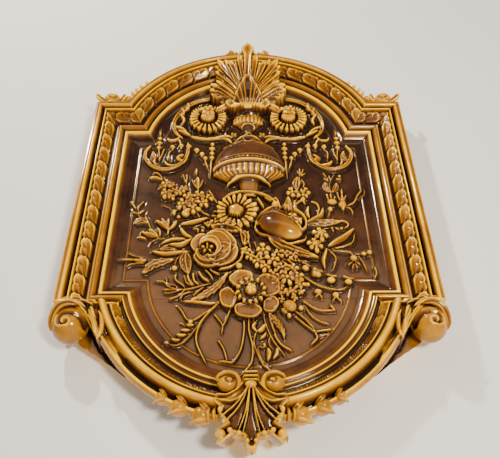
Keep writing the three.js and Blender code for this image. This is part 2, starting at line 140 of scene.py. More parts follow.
class Piece:
    # collects closed shells of one object, each turned so that its faces point outwards
    def __init__(self, name):
        self.name, self.count = name, 0
        self.points, self.faces, self.flat, self.clay, self.tones = [], [], [], [], []

    def add(self, points, faces, flat=None, tone=0.6, clay=None):
        # points are x, z, h; faces is a list of index arrays, one for each number of corners;
        # clay tells, face by face of the first array, which ones are bare
        points = np.stack([points[:, 0], -points[:, 2], points[:, 1]], 1) / 1000
        turned = volumeOf(points, faces) < 0
        for k, f in enumerate(faces):
            self.faces.append((f[:, ::-1] if turned else f) + self.count)
            self.flat.append(np.full(len(f), bool(flat and flat[k])))
            self.clay.append(clay if clay is not None and k == 0 else np.zeros(len(f), bool))
        self.points.append(points)
        self.tones.append(np.broadcast_to(tone, len(points)))
        self.count += len(points)
        return self

    def build(self, material=None, edgeShare=0.30, steps=12):
        points = np.concatenate(self.points)
        mesh = bpy.data.meshes.new(self.name)
        mesh.vertices.add(len(points))
        mesh.vertices.foreach_set("co", points.astype(np.float32).ravel())
        totals = np.concatenate([np.full(len(f), f.shape[1]) for f in self.faces])
        corners = np.concatenate([f.ravel() for f in self.faces])
        mesh.loops.add(len(corners))
        mesh.loops.foreach_set("vertex_index", corners.astype(np.int32))
        mesh.polygons.add(len(totals))
        mesh.polygons.foreach_set("loop_start", np.r_[0, np.cumsum(totals)[:-1]].astype(np.int32))
        mesh.polygons.foreach_set("loop_total", totals.astype(np.int32))
        mesh.update(calc_edges=True)
        mesh.polygons.foreach_set("use_smooth", ~np.concatenate(self.flat))
        mesh.polygons.foreach_set("material_index", np.concatenate(self.clay).astype(np.int32))
        for finish in [material] if material else [honeyGlaze, bareClay]:
            mesh.materials.append(finish)
        mesh.update()
        tone = np.concatenate(self.tones) - edgeShare * hollowsOf(mesh, points, steps)
        layer = mesh.attributes.new("thin", "FLOAT", "POINT")
        layer.data.foreach_set("value", tone.astype(np.float32))
        thing = bpy.data.objects.new(self.name, mesh)
        bpy.context.collection.objects.link(thing)
        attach(thing, "root")
        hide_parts("tile")
        print(f"{self.name}: {int((totals - 2).sum())} triangles")


def hollowsOf(mesh, points, steps):
    # how far each point lies under the mean of its neighbourhood, in millimetres
    edges = np.empty(len(mesh.edges) * 2, np.int32)
    mesh.edges.foreach_get("vertices", edges)
    a, b = edges.reshape(-1, 2).T
    normals = np.empty(len(points) * 3, np.float32)
    mesh.vertices.foreach_get("normal", normals)
    count = len(points)
    degree = np.bincount(a, minlength=count) + np.bincount(b, minlength=count) + 1.0
    mean = points.copy()
    for _ in range(steps):
        mean = np.stack([
            (np.bincount(a, mean[b, k], count) + np.bincount(b, mean[a, k], count) + mean[:, k]) / degree
            for k in range(3)
        ], 1)
    return ((mean - points) * normals.reshape(-1, 3)).sum(1) * 1000


# Shader maths written as expressions: each operator adds one Math node
class Wire:
    def __init__(self, bench, socket):
        self.bench, self.socket = bench, socket

    def join(self, operation, first, second):
        return self.bench.node("ShaderNodeMath", {"operation": operation}, {0: first, 1: second})

    def __add__(self, other):
        return self.join("ADD", self, other)

    def __sub__(self, other):
        return self.join("SUBTRACT", self, other)

    def __mul__(self, other):
        return self.join("MULTIPLY", self, other)

    def __rsub__(self, other):
        return self.join("SUBTRACT", other, self)

    __radd__, __rmul__ = __add__, __mul__


class Bench:
    def __init__(self, name):
        self.material = bpy.data.materials.new(name)
        self.material.use_nodes = True
        self.tree = self.material.node_tree
        self.tree.nodes.clear()

    def node(self, kind, settings=None, values=None, out=0):
        # settings are put on the node first, then the sockets get their values or links
        made = self.tree.nodes.new(kind)
        for key, value in (settings or {}).items():
            if key == "stops":
                ramp = made.color_ramp
                while len(ramp.elements) < len(value):
                    ramp.elements.new(0.5)
                for element, (place, colour) in zip(ramp.elements, value):
                    element.position, element.color = place, (*colour, 1)
            else:
                setattr(made, key, value)
        for key, value in (values or {}).items():
            if isinstance(value, Wire):
                self.tree.links.new(value.socket, made.inputs[key])
            else:
                made.inputs[key].default_value = value
        return Wire(self, made.outputs[out]) if made.outputs else None

    def noise(self, place, look):
        return self.node("ShaderNodeTexNoise", {}, {"Vector": place, "Scale": look[0], "Detail": look[1]})


glazeLook = {
    "stops": [
        (0.0, (0.020, 0.008, 0.005)), (0.15, (0.056, 0.021, 0.010)), (0.34, (0.13, 0.045, 0.010)),
        (0.55, (0.30, 0.118, 0.004)), (0.78, (0.64, 0.30, 0.002)), (1.0, (1.0, 0.58, 0.01)),
    ],
    # scale, detail and how far each noise shifts the depth of the glaze
    "cloud": (34.0, 3.0, 0.34), "blotch": (110.0, 2.0, 0.18), "speck": (420.0, 2.0, 0.08),
    "roughness": 0.12, "coat": 0.25, "coatRoughness": 0.03, "tint": (1.0, 0.74, 0.40, 1.0),
    "bump": 0.35, "bumpHeight": 0.0007, "refraction": 1.52,
}


def makeGlaze():
    # amber where the glaze lies thin on crests, nearly black where it pools in hollows
    bench = Bench("honeyGlaze")
    look = glazeLook
    place = bench.node("ShaderNodeTexCoord", out=3)
    cloud, blotch, speck = (bench.noise(place, look[name]) for name in ("cloud", "blotch", "speck"))
    depth = bench.node("ShaderNodeAttribute", {"attribute_name": "thin"}, out=2)
    for noise, name in ((cloud, "cloud"), (blotch, "blotch"), (speck, "speck")):
        depth = depth + (noise - 0.5) * look[name][2]
    colour = bench.node("ShaderNodeValToRGB", {"stops": look["stops"]}, {0: depth})
    bump = bench.node("ShaderNodeBump", {}, {
        "Height": cloud * 0.8 + speck * 0.08, "Distance": look["bumpHeight"], "Strength": look["bump"],
    })
    values = {
        "Base Color": colour, "Roughness": look["roughness"] + cloud * 0.08, "Normal": bump,
        "IOR": look["refraction"], "Specular Tint": look["tint"],
        "Coat Weight": look["coat"], "Coat Roughness": look["coatRoughness"],
    }
    shader = bench.node("ShaderNodeBsdfPrincipled", {}, values)
    bench.node("ShaderNodeOutputMaterial", {}, {0: shader})
    return bench.material


clayLook = {
    "stops": [(0.25, (0.30, 0.19, 0.115)), (0.5, (0.42, 0.285, 0.18)), (0.75, (0.50, 0.36, 0.25))],
    "cloud": (14.0, 5.0), "grit": (700.0, 2.0), "roughness": 0.82, "bump": 0.5, "bumpHeight": 0.0012,
}


def makeBareClay():
    # buff fired clay, dusty, with grit and a few smears
    bench = Bench("bareClay")
    look = clayLook
    place = bench.node("ShaderNodeTexCoord", out=3)
    cloud, grit = bench.noise(place, look["cloud"]), bench.noise(place, look["grit"])
    colour = bench.node("ShaderNodeValToRGB", {"stops": look["stops"]}, {0: cloud * 0.8 + grit * 0.2})
    bump = bench.node("ShaderNodeBump", {}, {
        "Height": grit * 0.6 + cloud, "Distance": look["bumpHeight"], "Strength": look["bump"],
    })
    values = {"Base Color": colour, "Roughness": look["roughness"], "Normal": bump}
    shader = bench.node("ShaderNodeBsdfPrincipled", {}, values)
    bench.node("ShaderNodeOutputMaterial", {}, {0: shader})
    return bench.material


honeyGlaze = makeGlaze()
bareClay = makeBareClay()
print("materials ready")

# Frame mouldings: the profile is carried along the panel's outline, with mitred corners
frameCut = {
    "split": 10.1, "rowStep": 0.70, "columnStep": 1.15, "crossOver": 3.0, "tuck": -0.9, "overlap": 0.8,
    "ridge": 23.3, "lip": (36.6, 27, 0.45), "bowlLip": (36.4, 27, 0.45), "wallRows": 14,
}
# first row of each moulding, tucked under the panel where both surfaces cross
tuckRow = (frameCut["tuck"], frameCut["ridge"] + frameCut["tuck"] * frameCut["crossOver"], 0.5)


def archEnd(s):
    return np.arccos((panel["top"] + s - panel["archCentre"]) / (panel["arcRadius"] + s))


def bowlEnd(s, z):
    # angle from the lowest point at which the circle of the bowl reaches level z
    return np.arccos((panel["bowlCentre"] - z) / (panel["arcRadius"] + s))


def upperTrack(s, withLedge):
    # columns of x, z and run along the outline, for every s: ledge, side, shoulder and arch
    s = s[:, None]
    half, top, radius = panel["halfWidth"] + s, panel["top"] + s, panel["arcRadius"] + s
    foot = panel["bottom"] - s if withLedge else panel["frameFoot"] + 0 * s
    shares = lambda length: np.linspace(0, 1, length)[None, :]
    side = foot + (top - foot) * shares(int(226 / frameCut["columnStep"]))[:, :-1]
    shoulder = half + (radius * np.sin(archEnd(s)) - half) * shares(48)[:, :-1]
    angle = archEnd(s) * (1 - shares(int(178 / frameCut["columnStep"])))
    archZ = panel["archCentre"] + radius * np.cos(angle)
    # x, z, run and kind of each stretch
    stretches = [
        (half + 0 * side, side, side, 1), (shoulder, top + 0 * shoulder, shoulder, 2),
        (radius * np.sin(angle), archZ, angle * (panel["arcRadius"] + 16), 3),
    ]
    if withLedge:
        inner = radius * np.sin(bowlEnd(s, foot))
        ledge = inner + (half - inner) * shares(30)[:, :-1]
        stretches.insert(0, (ledge, foot + 0 * ledge, ledge, 0))
    x, z, run = (np.concatenate([stretch[k] for stretch in stretches], 1) for k in range(3))
    kind = np.concatenate([np.full(stretch[0].shape[1], stretch[3]) for stretch in stretches])
    mirror = lambda a, sign: np.concatenate([sign * a, a[:, -2::-1]], 1)
    return mirror(x, -1), mirror(z, 1), mirror(run, 1), np.r_[kind, kind[-2::-1]]


leafBand = {"inner": 12.9, "outer": 22.8, "pitch": 20.3, "rise": 6.2}


def leafRelief(s, t, look, phase=0.0):
    # in every pitch a leaf that runs from a round tip at the outer edge down and inward to its tail,
    # and a shorter one behind it whose tip fills the space between two of the long ones
    q = (s - look["inner"]) / (look["outer"] - look["inner"])
    full = leafBand["pitch"]
    p = np.mod(t - phase, look["pitch"]) / (look["pitch"] / full)
    outward = np.clip(q / 0.98, 0, 1.2)
    bend = 0.42 * outward**1.5 + 0.58 * outward**5
    total = 0.08 + 0.10 * share(q) + 0 * p
    for shift in (-full, 0, full):
        w = p + shift
        longLeaf = np.minimum(w - 11.5 * bend, 20.6 - 5.5 * np.abs((q - 0.52) / 0.48) ** 3 - w)
        longLeaf = np.minimum(longLeaf, (q - 0.04) * 10)
        shortLeaf = np.minimum(w + 9 - 11.0 * bend, 10.6 - 5.5 * np.abs((q - 0.68) / 0.32) ** 3 - w)
        for inside, low, start in ((shortLeaf, 0.22, -6), (longLeaf, 0.26, 0)):
            rim = bell(inside - 0.7, 0.55) * (0.25 + 0.75 * share(q * 2 - 0.3))
            veins = 0.5 + 0.5 * np.cos(22 * np.arctan2((q - 0.02) * 10.4, np.maximum(w - start + 4, 0.5)))
            dome = np.sqrt(share(inside / 3.2))
            rise = low + 0.020 * np.clip(w - start, 0, 21) + 0.16 * dome + 0.20 * rim + 0.07 * veins
            over = np.maximum(total, rise * share(inside / 0.5))
            total = np.where(inside > 0, over, total - 0.07 * bell(inside, 0.7))
    ends = share((q + 0.05) * 6.0) * np.sqrt(share((1.03 - q) * 9))
    return look["rise"] * np.clip(total, 0, 1.2) * ends


def ring(profile, spans, step):
    # rows (s, h, tone) of the front, spaced by the length along the profile
    fine = np.arange(spans[0], spans[1], 0.05)
    line = np.stack([fine, profileAt(profile, fine)], 1)
    run = np.r_[0, np.cumsum(np.hypot(*np.diff(line, axis=0).T))]
    count = max(4, int(run[-1] / step))
    at = np.linspace(0, run[-1], count)
    s = np.interp(at, run, line[:, 0])
    return np.stack([s, profileAt(profile, s), profileAt(profile, s, 2)], 1)


def sweepFrame(name, rows, track, reliefRows, relief, bareRows):
    x, z, run, kind = track
    h = np.repeat(rows[:, 1:2], x.shape[1], 1)
    tone = np.repeat(rows[:, 2:3], x.shape[1], 1)
    rise = relief(rows[reliefRows, :1], run[reliefRows], kind)
    h[reliefRows] += rise
    if rise.size:
        tone[reliefRows] += 0.090 * rise + 0.17 * np.clip(rise - soften(rise, 2.2), -1.2, 1.2)
    # the upper part of the frame is coloured a little darker than its foot
    tone *= 1 - 0.16 * share((z - 60) / 120)
    points = np.stack([x, z, h], -1).reshape(-1, 3)
    rowsCount, columns = x.shape
    faces = gridFaces(rowsCount, columns, wrapRows=True)
    first = (np.arange(rowsCount) * columns)[None, :]
    last = first[:, ::-1] + columns - 1
    bare = np.repeat(np.arange(rowsCount) >= rowsCount - bareRows, columns - 1)
    return Piece(name).add(points, [faces, first, last], [False, True, True], tone.ravel(), bare)


def upperRelief(s, run, kind):
    side = leafRelief(s, run, leafBand, phase=10.0)
    arch = leafRelief(s, 178 - run, leafBand, phase=8.0)
    shoulder = 0.8 * leafRelief(s, run * 1.25, leafBand, phase=4.0)
    return np.where(kind == 1, side, np.where(kind == 3, arch, np.where(kind == 2, shoulder, 0)))


def buildFrame():
    cut, split = frameCut, frameCut["split"]
    edge = split + cut["overlap"]
    under = [(edge, 12, 0), (edge, channelLevel, 0), (cut["tuck"], channelLevel, 0)]
    inner = np.vstack([[tuckRow], ring(upperProfile, (0.0, split), cut["rowStep"]), under])
    track = upperTrack(inner[:, 0], True)
    none = np.zeros(len(inner), bool)
    sweepFrame("frameInnerMoulding", inner, track, none, lambda s, run, kind: 0 * run, 2).build()
    front = ring(upperProfile, (split, cut["lip"][0]), cut["rowStep"])
    wall = evenly([cut["lip"]] + wallProfile, cut["wallRows"])[1:]
    outer = np.vstack([front, wall, backProfile, [(split, channelLevel, 0)]])
    track = upperTrack(outer[:, 0], False)
    band = np.arange(len(outer)) < len(front)
    band &= (outer[:, 0] > leafBand["inner"] - 0.5) & (outer[:, 0] < leafBand["outer"] + 0.5)
    sweepFrame("frameLeafMoulding", outer, track, band, upperRelief, 4).build()


bowlBand = {"inner": 8.8, "outer": 16.4, "pitch": 14.0, "rise": 3.4, "leafy": 124, "grain": 1.6}


def bowlTrack(s):
    # angle runs from one end to the other; the inner rows end on the ledge, the outer at frameFoot
    level = np.where(s < frameCut["split"], panel["bottom"] - s, panel["frameFoot"])
    end = bowlEnd(s, level)[:, None]
    t = np.linspace(-1, 1, int(310 / frameCut["columnStep"]))[None, :]
    radius = (panel["arcRadius"] + s)[:, None]
    angle = end * t
    return radius * np.sin(angle), panel["bowlCentre"] - radius * np.cos(angle), angle * 125, None


def bowlRelief(s, run, kind):
    # pebbled hollow whose upper ends carry a few leaves; grains are two crossed waves of uneven length
    far = np.abs(run)
    leafy = share((far - bowlBand["leafy"]) / 12)
    wander = 0.8 * np.sin(far * 0.37) + 0.6 * np.sin(far * 0.83 + 1)
    grain = np.sin(far * 2.1 + s * 0.9 + wander) * np.sin(s * 2.9 - far * 0.8 + 2 * wander)
    q = share((s - bowlBand["inner"]) * 2) * share((bowlBand["outer"] - s) * 2)
    broad = 0.5 + 0.5 * np.sin(far * 0.21 + 1.3) * np.sin(far * 0.093)
    pebbles = bowlBand["grain"] * (np.clip(grain, -0.3, 1) * (0.35 + 0.65 * broad)) * q
    return leafRelief(s, far, bowlBand, phase=2.0) * leafy + pebbles * (1 - 0.7 * leafy)


def buildBowl():
    cut = frameCut
    front = ring(bowlProfile, (0.0, cut["bowlLip"][0]), cut["rowStep"])
    wall = evenly([cut["bowlLip"]] + wallProfile, cut["wallRows"])[1:]
    rows = np.vstack([[tuckRow], front, wall, backProfile, [(cut["tuck"], channelLevel, 0)]])
    band = np.arange(len(rows)) <= len(front)
    band &= (rows[:, 0] > bowlBand["inner"]) & (rows[:, 0] < bowlBand["outer"])
    sweepFrame("bowlMoulding", rows, bowlTrack(rows[:, 0]), band, bowlRelief, 4).build()


# The panel's relief is a field of heights on a fine raster, into which each motif is pressed
raster = {"step": 0.32, "left": -174.0, "right": 174.0, "low": -236.0, "high": 262.0}
gridX = np.arange(raster["left"], raster["right"], raster["step"])
gridZ = np.arange(raster["low"], raster["high"], raster["step"])
meshX, meshZ = np.meshgrid(gridX, gridZ)


def offsetAt(x, z):
    # s of the panel outline: the least of the rectangle's and the two circles' own offsets
    rectangle = np.maximum(
        np.abs(x) - panel["halfWidth"], np.maximum(z - panel["top"], panel["bottom"] - z),
    )
    arch = np.hypot(x, z - panel["archCentre"]) - panel["arcRadius"]
    bowl = np.hypot(x, z - panel["bowlCentre"]) - panel["arcRadius"]
    return np.minimum(rectangle, np.minimum(arch, bowl))


offset = offsetAt(meshX, meshZ)
heights = profileAt(upperProfile, np.minimum(offset, 0))
heights = np.maximum(heights - frameCut["crossOver"] * np.maximum(offset, 0), 13.0)
bareGround = heights.copy()
groundTone = profileAt(upperProfile, np.minimum(offset, 0.2), 2)
shade = np.zeros_like(heights)


def windowOf(points, reach):
    low, high = points.min(0) - reach, points.max(0) + reach
    i = np.clip(((np.array([low[1], high[1]]) - raster["low"]) / raster["step"]).astype(int), 0, len(gridZ))
    j = np.clip(
        ((np.array([low[0], high[0]]) - raster["left"]) / raster["step"]).astype(int), 0, len(gridX),
    )
    return slice(i[0], i[1] + 1), slice(j[0], j[1] + 1)


def nearPath(points, reach):
    # for raster points near a path: distance with its side as sign, and share of the length
    p = points
    spot = windowOf(p, reach)
    x, z = meshX[spot][..., None], meshZ[spot][..., None]
    a, d = p[:-1], np.diff(p, axis=0)
    length = np.maximum(np.hypot(d[:, 0], d[:, 1]), 1e-6)
    run = np.r_[0, np.cumsum(length)]
    f = share(((x - a[:, 0]) * d[:, 0] + (z - a[:, 1]) * d[:, 1]) / length**2)
    ox, oz = x - a[:, 0] - f * d[:, 0], z - a[:, 1] - f * d[:, 1]
    far = np.hypot(ox, oz)
    k = far.argmin(-1)[..., None]
    pick = lambda q: np.take_along_axis(q, k, -1)[..., 0]
    side = np.sign(pick(d[:, 0] * oz - d[:, 1] * ox + 0 * far))
    return spot, pick(far) * side, pick((run[:-1] + f * length) / run[-1])


# level from which the relief on the panel rises
bedLevel = 13.6


def press(spot, rise, inside, level=bedLevel, moat=0.9):
    # the motif stands over what is there, and what lies just round it sinks a little
    heights[spot] -= moat * np.exp(-np.maximum(-inside, 0) / 0.6) * (inside <= 0)
    heights[spot] = np.maximum(heights[spot], np.where(inside > 0, level + rise, 0))


def leaf(points, width, crest, kind="blade", teeth=0, moat=0.9, base=bedLevel):
    # a strip round a curve; half width = width/2 times a taper of the share t of its length
    path = curveThrough(points, 6 * len(points))
    spot, across, t = nearPath(path, width / 2 + 2)
    t = share(t)
    if kind in ("line", "band"):
        taper = (share(t * 9 + 0.25) * share((1 - t) * 5 + 0.2)) ** 0.5
    elif kind == "drop":
        taper = np.sin(np.pi * np.clip(t, 0.02, 1) ** 0.6) ** 0.6
    elif kind == "lobe":
        taper = (0.30 + 0.70 * share(t * 1.25) ** 0.8) * np.sqrt(share((1 - t) * 7))
    else:
        taper = np.sin(np.pi * t**0.85) ** 0.7
    if teeth:
        taper = taper * (0.70 + 0.30 * np.mod(1 - t * teeth, 1))
    half = np.maximum(width / 2 * taper, 0.05)
    inside = half - np.abs(across)
    dome = arched(across / half)
    rim = bell(inside - 0.7, 0.55)
    lean = across / half
    if kind == "line":
        # a keel between two steep flanks, a little off the middle
        lean = np.clip(lean, -1, 1)
        shape = 0.16 + 0.84 * share(np.minimum(1 + lean, 1 - lean * 1.25)) ** 0.75
    elif kind == "drop":
        shape = 0.25 + 0.75 * dome
    elif kind == "band":
        shape = 0.40 + 0.10 * dome + 0.50 * rim
    elif kind == "blade":
        # a keel a little off the middle, one side falling steeply and the other gently
        shape = 0.30 + 0.70 * share(np.minimum((1 + lean) * 0.85, (1 - lean) * 1.7)) ** 0.7
    elif kind == "lobe":
        # hollowed along its middle, with a rounded border that is highest on one side
        lean = np.clip(lean, -1, 1)
        shape = 0.60 + 0.20 * lean**2 + 0.07 * lean + 0.16 * rim + 0.10 * t
    else:
        rib = bell(across, 0.6) * (t < 0.94)
        veins = 0.06 * np.cos(2 * np.pi * (t * max(teeth, 5) - np.abs(across) / 3.2))
        shape = 0.36 + 0.14 * dome + veins + 0.46 * np.maximum(rim, rib)
    press(spot, (crest - base) * shape, inside, base, moat)


def strips(rows, side, moat=0.9):
    # rows of kind, width, crest and points
    for kind, width, crest, points in rows:
        leaf(flip(points, side), width, crest, kind, moat=moat)


def ball(x, z, length, width, crest, turn=0.0, moat=0.9, base=bedLevel):
    # half an ellipsoid, turned by an angle in degrees
    a = math.radians(turn)
    spot = windowOf(np.array([[x, z]]), max(length, width) / 2 + 2)
    dx, dz = meshX[spot] - x, meshZ[spot] - z
    u = (dx * math.cos(a) + dz * math.sin(a)) / (length / 2)
    v = (dz * math.cos(a) - dx * math.sin(a)) / (width / 2)
    r = np.hypot(u, v)
    dome = arched(r)
    press(spot, (crest - base) * (0.25 + 0.75 * dome), (1 - r) * min(length, width) / 2, base, moat)


def nested(dx, dz, shiftX, shiftZ, radius):
    # rings of radius r whose centres move off by shift * r / radius: r solves |d - shift r/radius| = r
    sx, sz = shiftX / radius, shiftZ / radius
    along, rest = dx * sx + dz * sz, 1 - sx**2 - sz**2
    return (-along + np.sqrt(along**2 + rest * (dx**2 + dz**2))) / rest


def flower(x, z, radius, petals, crest, heart, shift, notch, ragged, moat):
    # petals hollowed along the middle, with thin raised rims and a deep groove between each two
    spot = windowOf(np.array([[x, z]]), radius * (1 + ragged) + 2 + max(map(abs, shift)))
    dx, dz = meshX[spot] - x, meshZ[spot] - z
    r, a = nested(dx, dz, *shift, radius), np.arctan2(dz, dx)
    lobe = np.abs(np.cos(a * petals / 2))
    edge = radius * (1 - notch + notch * lobe**0.7) * (1 + ragged * np.sin(2 * a + 0.9) * np.cos(3 * a))
    inside, q = edge - r, r / edge
    rim = bell(inside - 0.7, 0.6) * (q > heart)
    # arc length from the groove between two petals
    side = r * (np.pi / 2 - np.arccos(share(lobe))) * 2 / petals
    gap = bell(side, 0.36)
    shape = 0.46 + 0.26 * rim + 0.22 * share(side / 1.2) - 0.50 * gap + 0.14 * q
    shape = shape - 0.5 * bell(q - heart - 0.05, 0.06)
    knob = arched(q / heart) * (q < heart)
    knob = knob * (0.88 + 0.20 * np.cos(dx * 2.4) * np.cos(dz * 2.4))
    shape = np.clip(np.maximum(shape, (0.55 + 0.6 * knob) * (q < heart)), 0.02, 1.3)
    press(spot, (crest - bedLevel) * shape, inside, bedLevel, moat)


def floret(x, z, radius, petals, crest, turn=0.0, base=bedLevel, moat=1.2):
    # separate domed petals round a small ball: e = 1 is the outline of the petal that lies nearest
    spot = windowOf(np.array([[x, z]]), radius * 1.3 + 2)
    dx, dz = meshX[spot] - x, meshZ[spot] - z
    r, a = np.hypot(dx, dz), np.arctan2(dz, dx) - math.radians(turn)
    fold = np.mod(a, 2 * np.pi / petals) - np.pi / petals
    which = np.floor(np.mod(a, 2 * np.pi) / (2 * np.pi / petals))
    size = radius * (1 + 0.16 * np.sin(2.3 * which + 5 * radius))
    u, v = r * np.cos(fold) - 0.60 * size, r * np.sin(fold)
    wide = radius * min(math.sin(math.pi / petals) * 0.62, 0.42)
    bend = np.clip(1 + 0.6 * u / size, 0.5, 1.4)
    e = np.hypot(u / (0.44 * size), v / (wide * bend))
    dome = arched(e)
    dent = 0.22 * bell(v, 0.5) * (u > 0)
    petal = np.where(e < 1, 0.40 + 0.50 * dome + 0.10 * u / size - dent, 0)
    heart = 0.26 * radius
    knob = np.where(r < heart, 0.60 + 0.40 * arched(r / heart), 0)
    inside = np.maximum((1 - e) * wide, heart - r)
    press(spot, (crest - base) * np.maximum(petal, knob), inside, base, moat)


def cup(x, z, length, width, crest, turn, fill, base=bedLevel, moat=1.6, ruffle=0.04, phase=0.0):
    # petal seen from the front: an oval with a waved, raised rim; fill tells how high its bed lies
    c, s = math.cos(math.radians(turn)), math.sin(math.radians(turn))
    spot = windowOf(np.array([[x, z]]), max(length, width) * 0.62 + 2)
    dx, dz = meshX[spot] - x, meshZ[spot] - z
    u, v = (dx * c + dz * s) / (length / 2), (dz * c - dx * s) / (width / 2)
    r = np.hypot(u, v) / (1 + ruffle * np.sin(5 * np.arctan2(v, u) + phase))
    inside = (1 - r) * min(length, width) / 2
    rim = bell(inside - 0.9, 0.75)
    bed = fill * (0.75 + 0.25 * arched(r)) + 0.06 * u
    press(spot, (crest - base) * np.clip(np.maximum(bed, rim), 0.1, 1.2), inside, base, moat)


urnLook = {
    "sag": 11.0,
    # level, half width and how far the middle stands out, in share of the half width
    "levels": [
        (159.5, 8, 0.5), (155, 8, 0.5), (154, 9, 0.5), (151, 15.5, 0.5), (147, 18, 0.5), (141, 18, 0.5),
        (138.5, 13, 0.5), (136, 11, 0.55), (131, 7, 0.6), (127, 5.4, 0.6), (124.5, 5.6, 0.6),
        (122.6, 8, 0.6), (121, 8, 0.6), (119.5, 9, 0.6), (117, 13.4, 0.6), (113, 15.5, 0.5),
        (109, 21, 0.46), (101, 29, 0.42), (93, 34, 0.38), (84, 37.2, 0.36), (76, 38.8, 0.34),
        (72.5, 39.4, 0.34), (68.5, 39.6, 0.34), (66.5, 38, 0.34), (64.5, 38.6, 0.34), (61, 38.4, 0.34),
        (57, 33, 0.36), (53, 26, 0.4), (50, 22, 0.44), (48.5, 23.6, 0.45), (45.5, 23.6, 0.45),
        (44, 20, 0.45), (41, 13, 0.5), (37, 9.5, 0.5), (32, 8.4, 0.5),
    ],
}


def pressUrn():
    # each level is half an ellipse: h = ground + depth * sqrt(half^2 - x^2); rings curve down at the sides
    levels = np.array(urnLook["levels"])[::-1]
    spot = windowOf(np.array([[-41.0, 30.0], [41.0, 162.0]]), 0)
    x, z = meshX[spot], meshZ[spot]
    half = np.interp(z, levels[:, 0], levels[:, 1], left=0, right=0)
    depth = np.interp(z, levels[:, 0], levels[:, 2])
    across = np.clip(x / np.maximum(half, 0.1), -1, 1)
    angle = np.arcsin(across)
    bulge = arched(across)
    rise = 1.5 + depth * half * bulge
    # the rings are seen from below, so their middles stand higher: level plus a sag at the sides
    level = z + urnLook["sag"] * (1 - bulge)
    ridge = lambda at, wide, tall=1.0: tall * bell(level - at, wide)
    band = lambda low, high: share((level - low) * 1.4) * share((high - level) * 1.4)
    ribs = np.abs(np.cos(angle * 12)) ** 0.4
    flutes = np.abs(np.sin(angle * 19)) ** 0.4
    rise += band(140, 151) * 1.8 * (ribs - 0.7) + band(57, 71.5) * 2.4 * (flutes - 0.8)
    rings = ridge(138.2, 1.0) + ridge(127.0, 1.0) + ridge(118.6, 1.5) + ridge(152.6, 0.8)
    rise += 1.7 * rings + ridge(76.0, 1.9, 2.6) + ridge(54.0, 1.3, 2.2) + ridge(84.6, 0.6, 0.7)
    rise -= ridge(72.6, 0.7, 1.4) + ridge(81.0, 2.0, 1.6) + band(121, 125.5) * 1.5 + ridge(115.6, 0.7, 0.9)
    beads = np.abs(np.cos(angle * 26)) ** 0.7 * ridge(81.4, 0.9)
    rise += 2.2 * beads
    cell = np.mod(angle * 6 / np.pi + 0.5, 1) - 0.5
    tongue = np.hypot(cell / 0.46, (level - 111.0) / 6.0)
    lip = bell(tongue - 0.86, 0.14) * (level < 111.5) * (level > 103)
    rise += 1.2 * lip - 0.8 * (tongue < 0.8) * band(107, 116)
    edges = rings + ridge(76.0, 2.2) + 0.8 * ridge(54.0, 1.5) + 0.5 * ridge(84.6, 0.7)
    tone = -0.30 + 0.42 * edges + 0.60 * beads + 0.34 * lip
    tone += band(140, 151) * (0.62 * ribs - 0.16) + band(57, 71.5) * (0.66 * flutes - 0.26)
    tone -= ridge(81.0, 1.8, 0.25)
    tone -= 0.04 * band(86, 106)
    # under the lowest ring only a hollowed foot stands out from the ground
    foot = np.interp(z, [32, 39, 50, 55], [8.4, 8.0, 11.5, 15])
    below = level < 52.4
    hollowed = 2.0 + 0.62 * np.sqrt(np.clip(foot**2 - x**2, 0, None))
    rise = np.where(below, np.where(np.abs(x) < foot, hollowed, 0.2), rise)
    tone = np.where(below, np.where(np.abs(x) < foot, 0.02, -0.3), tone)
    shade[spot] += tone * (half - np.abs(x) > 0)
    press(spot, rise, np.where(half > 0, half - np.abs(x), -9.0), 13.4, 1.6)


